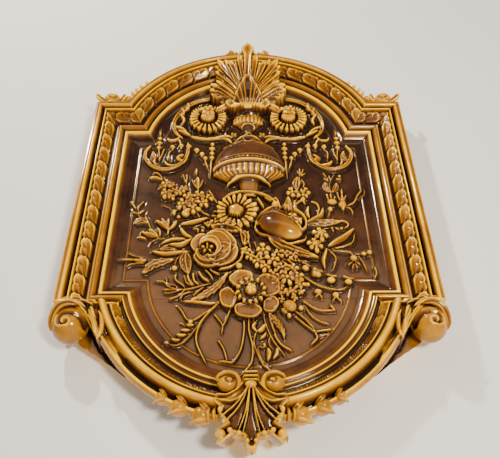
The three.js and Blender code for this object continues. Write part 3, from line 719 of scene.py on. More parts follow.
# for the right side; the left one is its mirror image. Strips are kind, width, crest and points
scrollLook = {
    "garland": [
        ("band", 4.6, 21.5, [
            (23, 178), (32, 183), (46, 184), (62, 178), (75, 166), (83, 152), (85, 138), (81, 126),
            (74, 118),
        ]),
        ("blade", 5.4, 21.5, [(71, 177), (70, 168), (75, 160)]),
        ("blade", 5.4, 21.5, [(78, 168), (75, 160), (78, 152)]),
        ("blade", 5.4, 21.5, [(80, 158), (74, 148), (76, 139)]),
        ("blade", 5.4, 21.5, [(84, 136), (76, 133), (68, 126)]),
        ("blade", 5.4, 21.5, [(80, 130), (72, 126), (64, 121)]),
        ("band", 3.6, 21.5, [(64, 120), (52, 117), (40, 117), (30, 118), (22, 115), (18, 108)]),
        ("blade", 5, 20.5, [(38, 116), (30, 120), (22, 121), (17, 119)]),
    ],
    "stalks": [
        ("line", 2.0, 17.6, [(22, 122), (26, 130), (22, 139)]),
        ("line", 2.2, 21, [(33, 165), (31, 168.5), (27, 168.5), (26, 165)]),
    ],
    "rosette": (46.5, 153.5), "heart": (46.5, 158.5),
    # x, z, width and height of drops in the upright string, the slanting string and the beaded spire
    "drops": [
        (40, 109, 5.5, 4.4), (40, 102, 8, 5), (40, 95, 6.4, 4.6), (40, 88, 6.8, 5), (66, 106, 7.5, 6),
        (57, 100, 7, 6), (51, 94, 6.6, 6), (47, 87.5, 6, 5), (74.5, 107, 6.6, 6.6), (84, 105, 6.6, 6),
        (99, 126, 3.4, 6), (99, 118, 7, 4), (99, 111, 8, 5), (99, 104, 6.4, 5),
    ],
    "basket": [
        ("drop", 3.6, 18.2, [(40.5, 86), (40.8, 74), (41, 60)]),
        ("drop", 3.0, 18, [(47, 84), (45, 77), (43, 70)]),
        ("line", 2.8, 18.4, [(99, 103), (98, 94), (97, 84)]),
        ("line", 2.8, 18.4, [(93, 104), (95, 94), (97.5, 84)]),
        ("line", 2.8, 18.4, [(99, 134), (99, 129), (99, 125)]),
        ("line", 2.8, 18.4, [(85, 101), (87.5, 96), (86.5, 87)]),
        ("blade", 4.4, 20, [(91, 121), (88, 115), (80, 116), (76, 124)]),
        ("blade", 3.6, 20, [(80, 119), (76, 112), (76, 106)]),
        ("band", 4.2, 21, [
            (67, 110), (66.5, 98), (70, 84), (80, 74), (91, 71), (103, 75), (111, 85), (113, 96),
            (108, 106),
        ]),
        ("blade", 7.5, 20, [(71, 82), (76, 88), (70, 93)]),
        ("blade", 5, 20, [(78, 76), (87, 78), (92, 84)]),
        ("leaf", 7, 19.4, [(109, 83), (104, 89), (105, 99)]),
        ("blade", 4, 19.4, [(99, 76), (102, 82), (101, 88)]),
        ("line", 2.6, 20, [(9, 158), (14, 153), (17, 146)]),
        ("line", 2.4, 20, [(68, 92), (67, 86), (70, 80)]),
    ],
}


def pressScrolls(side):
    look = scrollLook
    strips(look["garland"], side)
    strips(look["stalks"][:1], side, 0.8)
    x, z = look["rosette"]
    flower(side * x, z, 21.5, 26, 26, 0.42, (side * -0.5, -7.4), 0.16, 0.03, 1.8)
    x, z = look["heart"]
    ball(side * x, z, 18, 16, 22, base=17, moat=3)
    floret(side * x, z, 8.6, 7, 27.5, turn=90, base=20, moat=0.8)
    ball(side * x, z, 6, 6, 28, base=22, moat=1.5)
    strips(look["stalks"][1:], side, 0.8)
    for x, z, wide, tall in look["drops"]:
        ball(side * x, z, wide, tall, 20.2)
        ball(side * x, z - tall * 0.55, wide * 0.5, tall * 0.5, 19)
    strips(look["basket"], side)
    floret(side * 16, 125, 4.6, 4, 18.8)


# Bouquet, as (width, crest, points)
bouquetLines = [
    (3, 18.6, [(-102, 67), (-97, 66), (-93, 61), (-91.5, 56)]),
    (2, 18, [(-66, 53), (-64, 45), (-59.5, 38)]), (2.6, 18.6, [(-70.5, 65), (-68, 58), (-66, 52)]),
    (2.6, 18.6, [(-66, 65), (-65.5, 58), (-66, 52)]), (2.6, 18.6, [(-60.5, 58), (-57.5, 50), (-54, 44)]),
    (2.6, 18.6, [(-48.5, 57), (-50, 49), (-53, 44)]), (3, 19, [(-53, 45), (-52.5, 36)]),
    (1.8, 17.4, [(-89, 22.5), (-79, 17.5)]), (2.6, 19, [(-50, 25), (-48, 13), (-40, 8)]),
    (2.6, 19, [(-55, 18), (-50, 5)]), (2.8, 20, [(-36, 13), (-28, 10)]), (3.2, 20, [(-38, 7), (-28, 5)]),
    (2.4, 18.6, [(-108, 27), (-112, 21), (-113, 16)]), (2.8, 18.2, [(-119, 13), (-112, 11)]),
    (3, 18.2, [(-106.5, 15), (-112, 10)]), (2, 18, [(-112, 16), (-112, 10), (-109, 4)]),
    (2.4, 18.8, [(-105.5, 9), (-101, 0), (-98, -8), (-92, -14)]), (2.6, 19, [(-98, -8), (-90, -19)]),
    (2, 18.2, [(-98, -30), (-95, -24), (-88, -21), (-78, -22)]), (2.2, 18.6, [(-76, -16), (-73, -20)]),
    (2.2, 18.4, [(-101, -44), (-110, -42), (-117, -38)]),
    (2.2, 18.4, [(-101, -50), (-112, -51), (-117, -54)]), (1.9, 18, [(-71, -53), (-70, -46), (-66, -40)]),
    (1.8, 17.4, [(-91, -35), (-80, -32), (-70, -35)]), (2.4, 20, [(-56, -9), (-51, -10), (-51, -14)]),
    (2.8, 20, [(-48, -7), (-44, -9)]), (3, 21, [(-45, -2), (-40, -8)]),
    (2.2, 18.4, [(-88, -70), (-80, -71), (-74, -77), (-62, -79)]),
    (2.4, 19.4, [(-80, -79.5), (-60, -80), (-48, -77), (-36, -73)]),
    (2, 18.4, [(-78, -66), (-76, -73), (-69, -75), (-66, -79)]),
    (2.8, 19, [(-69, -62.5), (-69, -69), (-62, -75), (-60, -78)]),
    (2.4, 19.2, [(-61, -64), (-59, -72), (-54, -76)]), (4.2, 19.8, [(-58, -64), (-56, -71), (-52, -76)]),
    (3.8, 20.4, [(-53, -62.5), (-51.5, -71), (-47, -75)]),
    (4.2, 21, [(-48, -61), (-43.5, -68), (-38, -72)]), (2.8, 21, [(-42, -59), (-37.5, -64), (-34, -70)]),
    (2.8, 21, [(-38, -58), (-33, -62), (-28, -64)]),
    (2.6, 18.8, [(-74, -90), (-66, -87), (-62, -83), (-60, -80)]),
    (2.6, 19, [(-64, -90), (-61, -85), (-54, -82)]), (2.2, 19.4, [(-52, -87), (-47, -81), (-42, -77)]),
    (2, 18.4, [(-79, -83), (-69, -82), (-62, -80)]),
    (2.2, 19.4, [(-66, -96), (-61, -103), (-56, -111), (-50, -111.5), (-40, -104), (-32, -99), (-27, -91)]),
    (2.2, 18.8, [(-72, -134), (-66, -136.5), (-58, -133), (-50, -123), (-43, -111)]),
    (2.5, 20, [(-28, -94), (-36, -103), (-43, -113), (-47, -126), (-46, -136), (-41, -147), (-38, -153)]),
    (2.4, 19.6, [(-27, -151), (-20, -152), (-15, -152), (-9, -142), (-6, -128), (-5, -109)]),
    (2.2, 19, [(-32, -105.5), (-28, -111), (-24.5, -117), (-25, -125)]),
    (2.5, 19.4, [(-17.5, -100), (-20, -108), (-23.5, -117)]),
    (2.2, 18.6, [(-28, -131), (-23, -140), (-20, -151)]),
    (2.4, 20, [(-1, -107), (-1, -122), (2, -138), (1, -152), (-5, -161), (-11.5, -167)]),
    (2, 19, [(3, -107), (3, -114)]), (2.4, 18.8, [(3, -131), (5, -124)]),
    (2.2, 19, [(3, -130), (4, -138), (8, -149), (12, -156), (18, -160)]),
    (1.7, 18.2, [(6, -138), (10, -150), (16, -156)]), (1.8, 18.6, [(8, -137), (11, -138.5), (14, -137)]),
    (1.8, 18.4, [(17, -128), (16.5, -135), (20, -141)]),
    (2, 19.2, [(11.5, -103), (14, -116), (20, -132), (30, -147)]),
    (2.2, 19.4, [(16, -103), (19, -116), (23, -128)]), (3, 18.8, [(21, -126), (27, -136), (36, -142)]),
    (2.2, 19.4, [(41, -103), (50, -112), (58, -123)]), (2.2, 19.2, [(40, -108), (48, -116), (57, -124)]),
    (2.8, 19, [(58, -123.5), (72, -121.5)]), (2.8, 18.8, [(57, -124), (58.5, -130), (52.5, -136.5)]),
    (1.8, 17.4, [(60, -128), (70, -125)]), (2.6, 19, [(48, -92), (58, -100), (66, -102.5), (76, -102)]),
    (2.4, 18.6, [(73, -96), (77, -103)]), (2, 18.4, [(49, -96), (55, -107), (62, -113), (71, -116)]),
    (2, 19.4, [(28, -45), (36, -47), (45, -48), (58, -48.5)]), (3, 20, [(30, -48), (36, -54)]),
    (3, 20, [(36, -47), (42, -53)]), (3, 19.6, [(50, -50), (58, -55)]), (2.2, 19.4, [(46, -45), (48, -50)]),
    (2.2, 19.4, [(45, -61), (54, -69), (64, -76), (76, -80), (86, -80), (91, -76)]),
    (2.8, 20.4, [(60, -58), (65, -60), (69.5, -61)]), (2.8, 20.4, [(72, -64), (77, -66), (82, -66.5)]),
    (2.8, 20.2, [(87.5, -66), (92, -68.5), (97.5, -69)]),
    (2.6, 18.8, [(60, -88), (64, -85.5), (66.5, -89.5)]),
    (2.6, 18.6, [(75.5, -92), (79, -88.5), (84, -93)]),
    (2.2, 18.8, [(82, -33), (92, -31), (101, -26), (104.5, -15)]),
    (2.2, 18.8, [(78, -36), (83, -45.5), (79, -59)]),
    (2.2, 18.6, [(80, -35.5), (90, -37), (97, -38), (101, -44)]), (2, 18, [(101, -40), (109, -40)]),
    (2.6, 18.8, [(94, -53), (99, -49)]), (2.6, 18.8, [(105.5, -53), (101, -49)]),
    (2.4, 18.6, [(97.5, -57.5), (99.5, -51)]), (2.4, 18.6, [(102.5, -57), (100.8, -51)]),
    (2.2, 18.2, [(104, -42), (108, -48), (111.5, -60)]), (2.8, 18, [(119, -55), (120, -62), (117, -68)]),
    (2.8, 23, [(8, -2), (6, -10), (10, -17), (18, -20), (30, -25), (38, -30), (46, -28), (54, -25), (56, -19)]),
    (2, 23, [(-1, -13), (-1, -24), (1, -34)]), (2, 22, [(5, -26), (7, -34)]),
    (3.2, 24, [(-27, 23), (-22, 31), (-12, 36), (0, 36.5), (12, 34), (22, 28), (29, 19)]),
    (2.6, 24.4, [(16, 30), (22, 25), (28, 27), (31, 19), (31, 12), (26, 9)]),
    (3.8, 23.6, [(9, 28), (12, 22), (15, 16)]),
    (2, 18.6, [(57, 68), (54, 62), (54.5, 52), (51, 42), (51, 36), (46.5, 21)]),
    (2.6, 18.6, [(56, 57), (58.5, 51), (57, 45)]), (2.6, 18.6, [(52, 69), (55, 63)]),
    (2.6, 18.8, [(55, 73), (55.5, 63)]), (2.6, 18.8, [(59, 72), (56.5, 63)]),
    (2.6, 18.4, [(61, 66), (56, 61.5)]), (3.2, 19, [(64, 26), (70, 22.5), (71.5, 15), (69, 8)]),
    (2, 18, [(86, 52), (88, 58), (92, 65)]), (2.6, 18.2, [(80, 67), (83, 59)]),
    (3, 18.2, [(80, 58.5), (85, 54.5)]), (2.2, 18.2, [(86, 63), (87, 55)]),
    (3.2, 18.2, [(93, 57.5), (98.5, 57)]), (2, 18.6, [(85.3, 52), (85.5, 38), (85, 28)]),
    (3.4, 19.4, [(81, 36), (83, 24)]), (3.6, 19.6, [(85, 36), (85.5, 23)]),
    (3.4, 19.4, [(89.5, 33), (87, 23)]), (2.4, 20.4, [(92, 39), (93.5, 27)]),
    (3, 20.6, [(97, 42), (96.5, 29)]), (2.4, 20.2, [(101, 34), (98, 26)]),
    (2.4, 19, [(98, 19), (104, 16), (106, 9)]), (3, 19, [(101, 20), (108, 24.5), (113, 34), (118.5, 42)]),
    (1.9, 18, [(114, 31), (120, 35.5), (121.5, 43)]), (2, 18, [(82, 13), (81, 7)]),
    (2.6, 19.6, [(92, 1), (98, -2), (99, -6), (95, -9)]), (2.6, 18.8, [(82, -7), (84, -13)]),
    (2.6, 18.8, [(85.5, -8), (90, -10.5)]), (3.4, 21, [(48, 21), (54, 26), (58, 22)]),
    (2.2, 18, [(-62, -114), (-58, -116)]),
]
bouquetBlades = [
    (5, 19, [(-106, 58.5), (-100, 59.5), (-94, 57.5), (-91, 55)]), (3.6, 18.2, [(-56.3, 74), (-56, 63)]),
    (8, 19.4, [(-54.5, 60), (-54, 51), (-53.5, 43)]), (3.2, 19, [(-42.5, 43), (-37, 32), (-31, 21)]),
    (5.4, 20, [(-69, -4.5), (-55, -1), (-40, 4.5)]), (3.8, 18.2, [(-122, 27.5), (-115, 16.5)]),
    (5.4, 20, [(-94, 1), (-87, -4), (-80.5, -12)]), (5.4, 20.4, [(-88, 3.5), (-84, -4), (-80.5, -12)]),
    (5.2, 20.4, [(-81, 3.5), (-81, -4), (-80, -12)]), (5.8, 20, [(-72.5, 1), (-76, -6), (-80, -12)]),
    (3.2, 19, [(-80, -10), (-80.5, -17)]), (5.2, 20, [(-69, -8), (-63, -17), (-55, -21.5)]),
    (4.2, 20, [(-91.5, -8), (-88.5, -14), (-88, -20)]), (6.2, 20, [(-105, -15), (-97, -17), (-89, -20.5)]),
    (6, 20.4, [(-100, -10.5), (-94, -15), (-89, -20)]),
    (3.6, 18.4, [(-110, -18.5), (-105, -20), (-100, -22)]),
    (3.8, 19.4, [(-87, -28.5), (-77, -23), (-66, -22), (-59, -23)]),
    (5.8, 20, [(-79, -29), (-68, -29.5), (-61, -26), (-54.5, -21)]),
    (5, 19.8, [(-95, -36.5), (-83, -40), (-72, -39), (-57, -37)]),
    (3.6, 18.6, [(-98, -46), (-112, -46), (-126, -46)]), (7, 19, [(-98, -47), (-104, -47), (-111, -47)]),
    (3.6, 19.4, [(-62, -92.5), (-45, -94), (-33, -95), (-26.5, -90.5)]),
    (3.4, 19, [(-57, -116.5), (-52, -117), (-49, -116)]),
    (3.4, 19, [(-61, -121.5), (-56, -122), (-52, -121)]),
    (3.6, 19, [(-65, -126), (-60, -127), (-55, -126)]),
    (3.4, 18.8, [(-69.5, -130), (-65, -131.5), (-60, -130.5)]),
    (4.8, 20, [(6, -124), (3, -119), (6, -113.5)]), (5.2, 20, [(6, -124), (10, -122), (14, -116)]),
    (3.2, 18.8, [(8, -131), (12, -128), (14.5, -123)]), (5.6, 19, [(15, -139), (16, -145), (14.5, -152)]),
    (5, 19, [(22.5, -139), (22.5, -144), (19, -150)]), (4.4, 19.4, [(28, -100), (31, -104), (35, -106)]),
    (5.6, 19.2, [(75.3, -33), (70.8, -47), (71.5, -58)]),
    (7.4, 20, [(76, -32), (85, -26), (95, -19), (105, -9)]), (4.8, 19.4, [(61, 20), (59, 12), (61, 2)]),
    (7, 20, [(56, -3.5), (66, 2), (73, 8), (76, 18)]), (9, 20.4, [(96, 33), (96, 24), (96, 13)]),
    (10, 21.4, [(40, 31), (41, 20), (43, 6)]), (8, 20.4, [(47, 27), (46, 17), (47, 8)]),
    (5.6, 20, [(62, -56), (60, -64), (64, -67)]),
]
# the same with a number of teeth
bouquetLeaves = [
    (8, 19, 0, [(-115, -2), (-108, 2), (-100, -2)]),
    (11, 19.6, 5, [(-100, -62.5), (-93, -53), (-84, -49), (-71, -46)]),
    (12, 20, 0, [(-61.5, -37), (-61, -49), (-57.5, -63.5)]), (14, 25, 0, [(-38, -9), (-24, -7), (-7, -14)]),
    (9, 23, 0, [(-9, -14), (-4, -20), (-5, -32)]),
    (9, 20.4, 7, [(-54, -92), (-42, -86), (-30, -76), (-19, -60)]),
    (8, 19.4, 0, [(52, 60), (50, 50), (51, 40)]), (7.4, 18.8, 0, [(81, 52.5), (81, 45), (85, 38)]),
    (7, 18.8, 0, [(93, 51.5), (91, 44), (86, 38)]), (9, 19.8, 0, [(56, -4), (75, -2), (94, -0.5)]),
    (10, 22.4, 0, [(18, -22), (30, -31), (44, -37), (54, -41), (67, -46)]),
    (7.4, 19, 6, [(16, -103), (22, -111), (28, -121), (30, -131)]),
    (7.6, 19, 0, [(-87, -34), (-79, -34.5), (-70, -35)]),
]
# x, z, length, width, crest, turn
bouquetBalls = [
    (-71, -56, 6.6, 6.6, 19, 0), (-105, -13, 4.4, 4, 18.4, 0), (-64, 10, 10, 10, 22, 0),
    (-71, 6, 5, 4, 19, 0), (-46, -12, 4, 4, 20, 0), (-10, -55, 7.4, 7.4, 22, 0),
    (-13, -63, 4.6, 4.6, 22, 0), (-53, -114, 5.4, 4, 20, 0), (-72.5, -134, 5, 4.6, 18.8, 0),
    (12, -136, 3.4, 3.4, 18.8, 0), (36, -98, 14, 13, 21.5, -30), (35, -108, 5, 6, 20, 0),
    (46, -100, 6, 6.4, 19.4, 0), (53, -57, 8, 7, 20.6, -30), (63.5, -64, 9, 7.4, 20.8, -20),
    (76, -70.5, 9, 7.4, 20.8, 0), (92, -72.5, 8.4, 6.6, 20.4, 0), (53, -75, 7, 5, 19.4, 0),
    (63, -82.5, 8, 6.4, 19.2, 0), (79, -86, 7.4, 6.6, 19, 0), (100, -45.5, 8, 8, 20, 0),
    (110.5, -40, 6, 5, 19, 0), (116, -38.5, 6.4, 5.6, 19, 0), (97, 61.5, 4.4, 4.4, 18.2, 0),
    (83, 16, 6, 7, 19, 0), (92, -9, 4, 3.6, 18.8, 0), (96, 21, 9.5, 9, 21, 0), (86, 25, 11, 8, 20.4, 0),
    (27, 20, 9, 10, 23, 0), (44, -3, 8, 8, 26, 0), (49, -7, 6, 6, 25, 0), (38, 11, 5, 8, 24, 0),
    (-76, 12, 4.6, 8, 19.4, 0),
]
# x, z, radius, petals, crest
smallFlowers = [
    (-86, 50, 5.6, 5, 20.4), (-80, 49, 3.4, 4, 19), (-92, 47, 2.4, 4, 18.4), (-86, 37, 6, 5, 20.4),
    (-80, 33, 4.4, 4, 19.6), (-77, 41, 4.6, 5, 19.8), (-72, 39, 5, 5, 20), (-68, 43.5, 4.4, 5, 19.6),
    (-62, 32, 5.4, 5, 21), (-52, 33, 6, 5, 21.4), (-43, 30, 5.6, 4, 21), (-67, 21, 7, 6, 21.6),
    (-58, 24, 5, 5, 22), (-57, 15, 6.6, 5, 22.4), (-47, 23, 5.6, 5, 22), (-39, -3, 3.4, 4, 21),
    (-34, -1, 3.6, 4, 21.4), (45, 37, 6.4, 4, 21), (58, 39, 5.4, 4, 20.4), (56, 33, 6, 4, 20.6),
    (13, -38, 7.4, 5, 23.4), (8, -50, 6, 5, 22.6), (15, -56, 6, 5, 22.8), (22, -49, 7, 5, 23.4),
    (27, -39.5, 4.2, 4, 21.6), (34, -41, 4.8, 4, 21.4), (42, -43, 5, 4, 21), (22, -65, 6.4, 5, 22.8),
    (25, -73, 5, 4, 22), (31, -58, 6, 5, 22.8), (40, -59, 6, 6, 22.4), (35, -69, 7, 6, 23.2),
    (44, -68, 6.4, 6, 22), (29, -81, 5.6, 4, 21.6), (34, -84, 4, 4, 21), (39.5, -83, 4.4, 5, 21.4),
    (47, -83, 3.4, 5, 20.4), (29, -91, 3.4, 4, 20.4), (41, -90, 3.4, 4, 20.4), (46, -76, 5, 5, 20.8),
    (-4, -38, 5, 5, 23), (1, -44, 4.6, 5, 22.4),
]


roseLook = {
    # offset x and z, length, width, crest and turn of the petals, the lowest ones first
    "petals": [
        (6, 8, 34, 26, 24.5, 130), (8, -7, 32, 24, 24.5, 35), (-7, -11, 28, 20, 24, -20),
        (-12, 6, 24, 24, 23.6, 80), (3, 6, 29, 23, 27.6, 132), (4, -5.5, 27, 20, 27.2, 42),
        (-8, -8, 23, 17, 26.8, -28), (-4.5, -0.5, 25, 22, 30.4, 112),
    ],
    "hollow": (-7.2, -2.6), "hollowSize": (8.6, 7.8), "hollowFloor": 19.5, "seeds": 5,
}


def pressRose(x, z, radius):
    # broad petals laid over each other round a hollow that lies off the middle, their rims crossing
    look = roseLook
    spot = windowOf(np.array([[x, z]]), radius + 3)
    dx, dz = meshX[spot] - x, meshZ[spot] - z
    far = radius + 0.9 * np.sin(3 * np.arctan2(dz, dx) + 0.6) - np.hypot(dx, dz)
    press(spot, 6.0 * np.sqrt(share(far / 6)), far, 14.4, 1.8)
    for k, (px, pz, length, width, crest, turn) in enumerate(look["petals"]):
        cup(x + px, z + pz, length, width, crest, turn, 0.80, moat=1.3, ruffle=0.025, phase=k * 1.7)
    hx, hz = look["hollow"]
    hollow = np.hypot((dx - hx) / look["hollowSize"][0], (dz - hz) / look["hollowSize"][1])
    deep = share((1.06 - hollow) / 0.22)
    heights[spot] = heights[spot] * (1 - deep) + np.minimum(heights[spot], look["hollowFloor"]) * deep
    shade[spot] -= 0.26 * deep
    for k in range(look["seeds"]):
        turn = 360 / look["seeds"] * k + 20
        b = math.radians(turn)
        ball(x + hx + 4.2 * math.cos(b), z + hz + 4.0 * math.sin(b), 5.4, 3.4, 28, turn, base=19, moat=1.2)
    ball(x + hx, z + hz, 3.0, 3.0, 28.5, base=19, moat=0.8)


peonyLook = {
    # offset x and z, length, width, crest, turn, fill and phase of the petals
    "petals": [
        (15, 6.5, 25, 24, 23.6, -30, 0.66, 2.0), (18, -13, 18, 14, 22, 60, 0.62, 0.0),
        (-3, -19.0, 26, 16, 23, -6, 0.68, 1.0), (-21, -6, 22, 16, 22.6, -76, 0.62, 0.5),
        (-9, 14, 23, 17, 24.6, 14, 0.80, 0.0),
    ],
    "collar": 14,
}


def pressPeony(x, z):
    look = peonyLook
    for dx, dz, length, width, crest, turn, fill, phase in look["petals"]:
        cup(x + dx, z + dz, length, width, crest, turn, fill, phase=phase)
    ball(x, z, 25, 25, 21.5, moat=2.2)
    for k in range(look["collar"]):
        a = 2 * math.pi * (k + 0.3) / look["collar"]
        spotX, spotZ, crest = x + 12.2 * math.cos(a), z + 12.0 * math.sin(a), 25 + 0.8 * math.cos(3 * k)
        ball(spotX, spotZ, 5.4, 3.6, crest, math.degrees(a) + 25, base=17, moat=1.4)
    ball(x, z, 17, 17, 19.5, base=14, moat=0)
    ball(x, z, 12.4, 12.4, 27, base=17, moat=3.5)
    floret(x, z, 5.0, 5, 28.8, base=23, moat=0.5)


fruitLook = {
    "twigs": [
        [(-15, 13), (-6, 14), (5, 9), (14, 2), (21, -7)], [(14, 19), (20, 14), (25, 6), (25, -2), (21, -7)],
    ],
    "florets": [(12, 8, 4.6), (18, 3, 4), (7, 21, 3.4)],
}


def pressFruit(x, z):
    leaf([(x - 25, z + 3), (x - 4, z + 19), (x + 22, z + 8)], 16, 24, "leaf")
    ball(x, z, 47, 29, 30, -27, moat=1.4)
    # painted shade: the fruit darker at the upper left, lighter towards the lower right
    spot = windowOf(np.array([[x - 22.0, z - 22.0], [x + 22.0, z + 22.0]]), 0)
    along = (meshX[spot] - x) * 0.75 - (meshZ[spot] - z) * 0.66
    shade[spot] -= (0.22 - 0.016 * np.clip(along, -10, 16)) * (heights[spot] > 22)
    for points in fruitLook["twigs"]:
        leaf([(x + a, z + b) for a, b in points], 2.4, 29.5, "line", base=19)
    for a, b, r in fruitLook["florets"]:
        floret(x + a, z + b, r * 1.1, 4, 29.5, base=20)


def pressBouquet():
    for width, crest, teeth, points in bouquetLeaves:
        leaf(points, width, crest, "leaf", teeth)
    for width, crest, points in bouquetBlades:
        leaf(points, width, crest)
    for width, crest, points in bouquetLines:
        leaf(points, width * 0.95, crest + 0.4, "line")
    for x, z, length, width, crest, turn in bouquetBalls:
        ball(x, z, length, width, crest, turn)
    flower(-14, 12, 21.5, 19, 24.5, 0.40, (1, -1), 0.30, 0.10, 1.6)
    pressFruit(31, -9)
    pressRose(-33, -36, 22)
    for x, z, radius, petals, crest in smallFlowers:
        floret(x, z, radius * 1.12, petals, crest + 0.6, turn=37 * radius)
    for x, z in ((64, -31), (70, -18)):
        floret(x, z, 8.4, 6, 23, turn=10)
        floret(x, z, 4.0, 5, 24.4, turn=30, base=17, moat=0.8)
    leaf([(-29, -59), (-18, -56), (-9, -48), (-5, -35)], 3.2, 22, "line")
    pressPeony(1, -84)


def soften(field, width):
    # average with a bell curve, first along the rows, then along the columns
    n = int(width * 3) + 1
    kernel = np.exp(-0.5 * (np.arange(-n, n + 1) / width) ** 2)
    kernel /= kernel.sum()
    for axis in (0, 1):
        padded = np.pad(field, [(n, n) if axis == k else (0, 0) for k in (0, 1)], mode="edge")
        size = field.shape[axis]
        field = sum(w * np.take(padded, range(i, i + size), axis) for i, w in enumerate(kernel))
    return field


def slopeOf(field):
    return np.hypot(*np.gradient(field, raster["step"]))


def sampleField(field, x, z):
    u, v = (x - raster["left"]) / raster["step"], (z - raster["low"]) / raster["step"]
    j, i = np.clip(u.astype(int), 0, field.shape[1] - 2), np.clip(v.astype(int), 0, field.shape[0] - 2)
    fu, fv = u - j, v - i
    low = field[i, j] * (1 - fu) + field[i, j + 1] * fu
    high = field[i + 1, j] * (1 - fu) + field[i + 1, j + 1] * fu
    return low * (1 - fv) + high * fv


panelCut = {
    "step": 0.72, "levels": [-176.5, -88.0, 8.0, 100.0, 215.5], "overlap": 0.8, "tuck": 0.06,
    "names": ["panelFoot", "panelBouquet", "panelMiddle", "panelTop"],
}
# how thin the glaze lies on the ground, on the relief and on fine and broad crests, with painted reflection
# that lightens the lower ground and darkens the upper, painted shade and pooled glaze round tall motifs, and
# painted shade on steep flanks
panelGlaze = {
    "ground": 0.02, "lowerGroundReflection": 0.10, "relief": 0.24, "perMillimetre": 0.020, "fine": 0.22,
    "broad": 0.15, "steep": 0.18,
}


def halfSpan(z):
    # half the width of the panel's mesh at a level: always past the inner ridge, under the frame
    return np.interp(z, [-177, -150, -112, -92, 128, 146, 216], [40, 95, 118, 138, 138, 124, 44])


def buildPanel():
    global heights
    look = panelGlaze
    pressUrn()
    pressScrolls(1)
    pressScrolls(-1)
    pressBouquet()
    heights = soften(heights, 1.1)
    rise = heights - bareGround
    raised = share((rise - 0.5) / 3.0)
    fine, broad = heights - soften(heights, 3.0), heights - soften(heights, 9.0)
    # painted reflection: the ground lighter towards the bottom of the panel, darker towards the top
    groundWithPaintedReflection = look["ground"] - look["lowerGroundReflection"] * np.clip(meshZ / 110, -1, 1) * (offset < -3)
    tone = (groundTone + groundWithPaintedReflection) * (1 - raised) + (look["relief"] + look["perMillimetre"] * rise) * raised
    # fine crests lighter and grooves darker with the glaze; the broad term lightens broad crests and darkens
    # the ground round tall motifs as painted shade and pooled glaze
    tone += look["fine"] * np.clip(fine, -1.5, 0.9) + look["broad"] * np.clip(broad, -3, 3) + shade
    # painted shade on the steep flanks of the relief
    tone -= look["steep"] * np.clip(slopeOf(heights) - 2.0, 0, 1.4) * (rise > 0.4)
    for name, low, high in zip(panelCut["names"], panelCut["levels"], panelCut["levels"][1:]):
        z = np.linspace(low, high, int((high - low) / panelCut["step"]))[:, None]
        if low > panelCut["levels"][0]:
            # one more row tucked under the piece below
            z = np.vstack([[[low - panelCut["overlap"]]], z])
        columns = int(2 * halfSpan(np.linspace(low, high, 40)).mean() / panelCut["step"])
        x = halfSpan(z) * np.linspace(-1, 1, columns)[None, :]
        z = z + 0 * x
        h = sampleField(heights, x, z)
        h[0] -= panelCut["tuck"]
        top = np.stack([x, z, h], -1).reshape(-1, 3)
        index = np.arange(z.size).reshape(z.shape)
        rim = np.concatenate([index[0, :-1], index[:-1, -1], index[-1, :0:-1], index[:0:-1, 0]])
        under = top[rim].copy()
        under[:, 2] = channelLevel
        below = len(top) + np.arange(len(rim))
        walls = np.stack([rim, below, np.roll(below, -1), np.roll(rim, -1)], 1)
        faces = [gridFaces(*z.shape), walls, below[None, ::-1]]
        tones = np.r_[sampleField(tone, x, z).ravel(), np.zeros(len(rim))]
        Piece(name).add(np.vstack([top, under]), faces, [False, True, True], tones).build(edgeShare=0)


# rim and face of the pad: how far each lies inside the panel's outline, and its level
padLook = {"inset": (-10.2, -14.0), "level": (10.2, 0.0)}


def buildBack():
    # flat pad inside the channel
    inset = np.array(padLook["inset"])
    x, z = upperTrack(inset, True)[:2]
    end = bowlEnd(inset, panel["bottom"] - inset)[:, None]
    angle = end * np.linspace(1, -1, 60)[None, 1:-1]
    radius = (panel["arcRadius"] + inset)[:, None]
    x = np.concatenate([x, radius * np.sin(angle)], 1)
    z = np.concatenate([z, panel["bowlCentre"] - radius * np.cos(angle)], 1)
    h = np.array(padLook["level"])[:, None] + 0 * x
    points = np.stack([x, z, h], -1).reshape(-1, 3)
    columns = np.arange(x.shape[1])
    faces = [
        gridFaces(2, len(columns), wrapColumns=True), columns[None, ::-1],
        (len(columns) + columns)[None, :],
    ]
    Piece("backPad").add(points, faces, [True, True, True]).build(bareClay)


def capFans(rows, columns):
    # triangles that close a tube: its first ring round one added point, its last ring round the next
    pole, j = rows * columns, np.arange(columns)
    k, ringStart = (j + 1) % columns, rows * columns - columns
    return [
        np.stack([np.full(columns, pole), k, j], 1),
        np.stack([np.full(columns, pole + 1), ringStart + j, ringStart + k], 1),
    ]


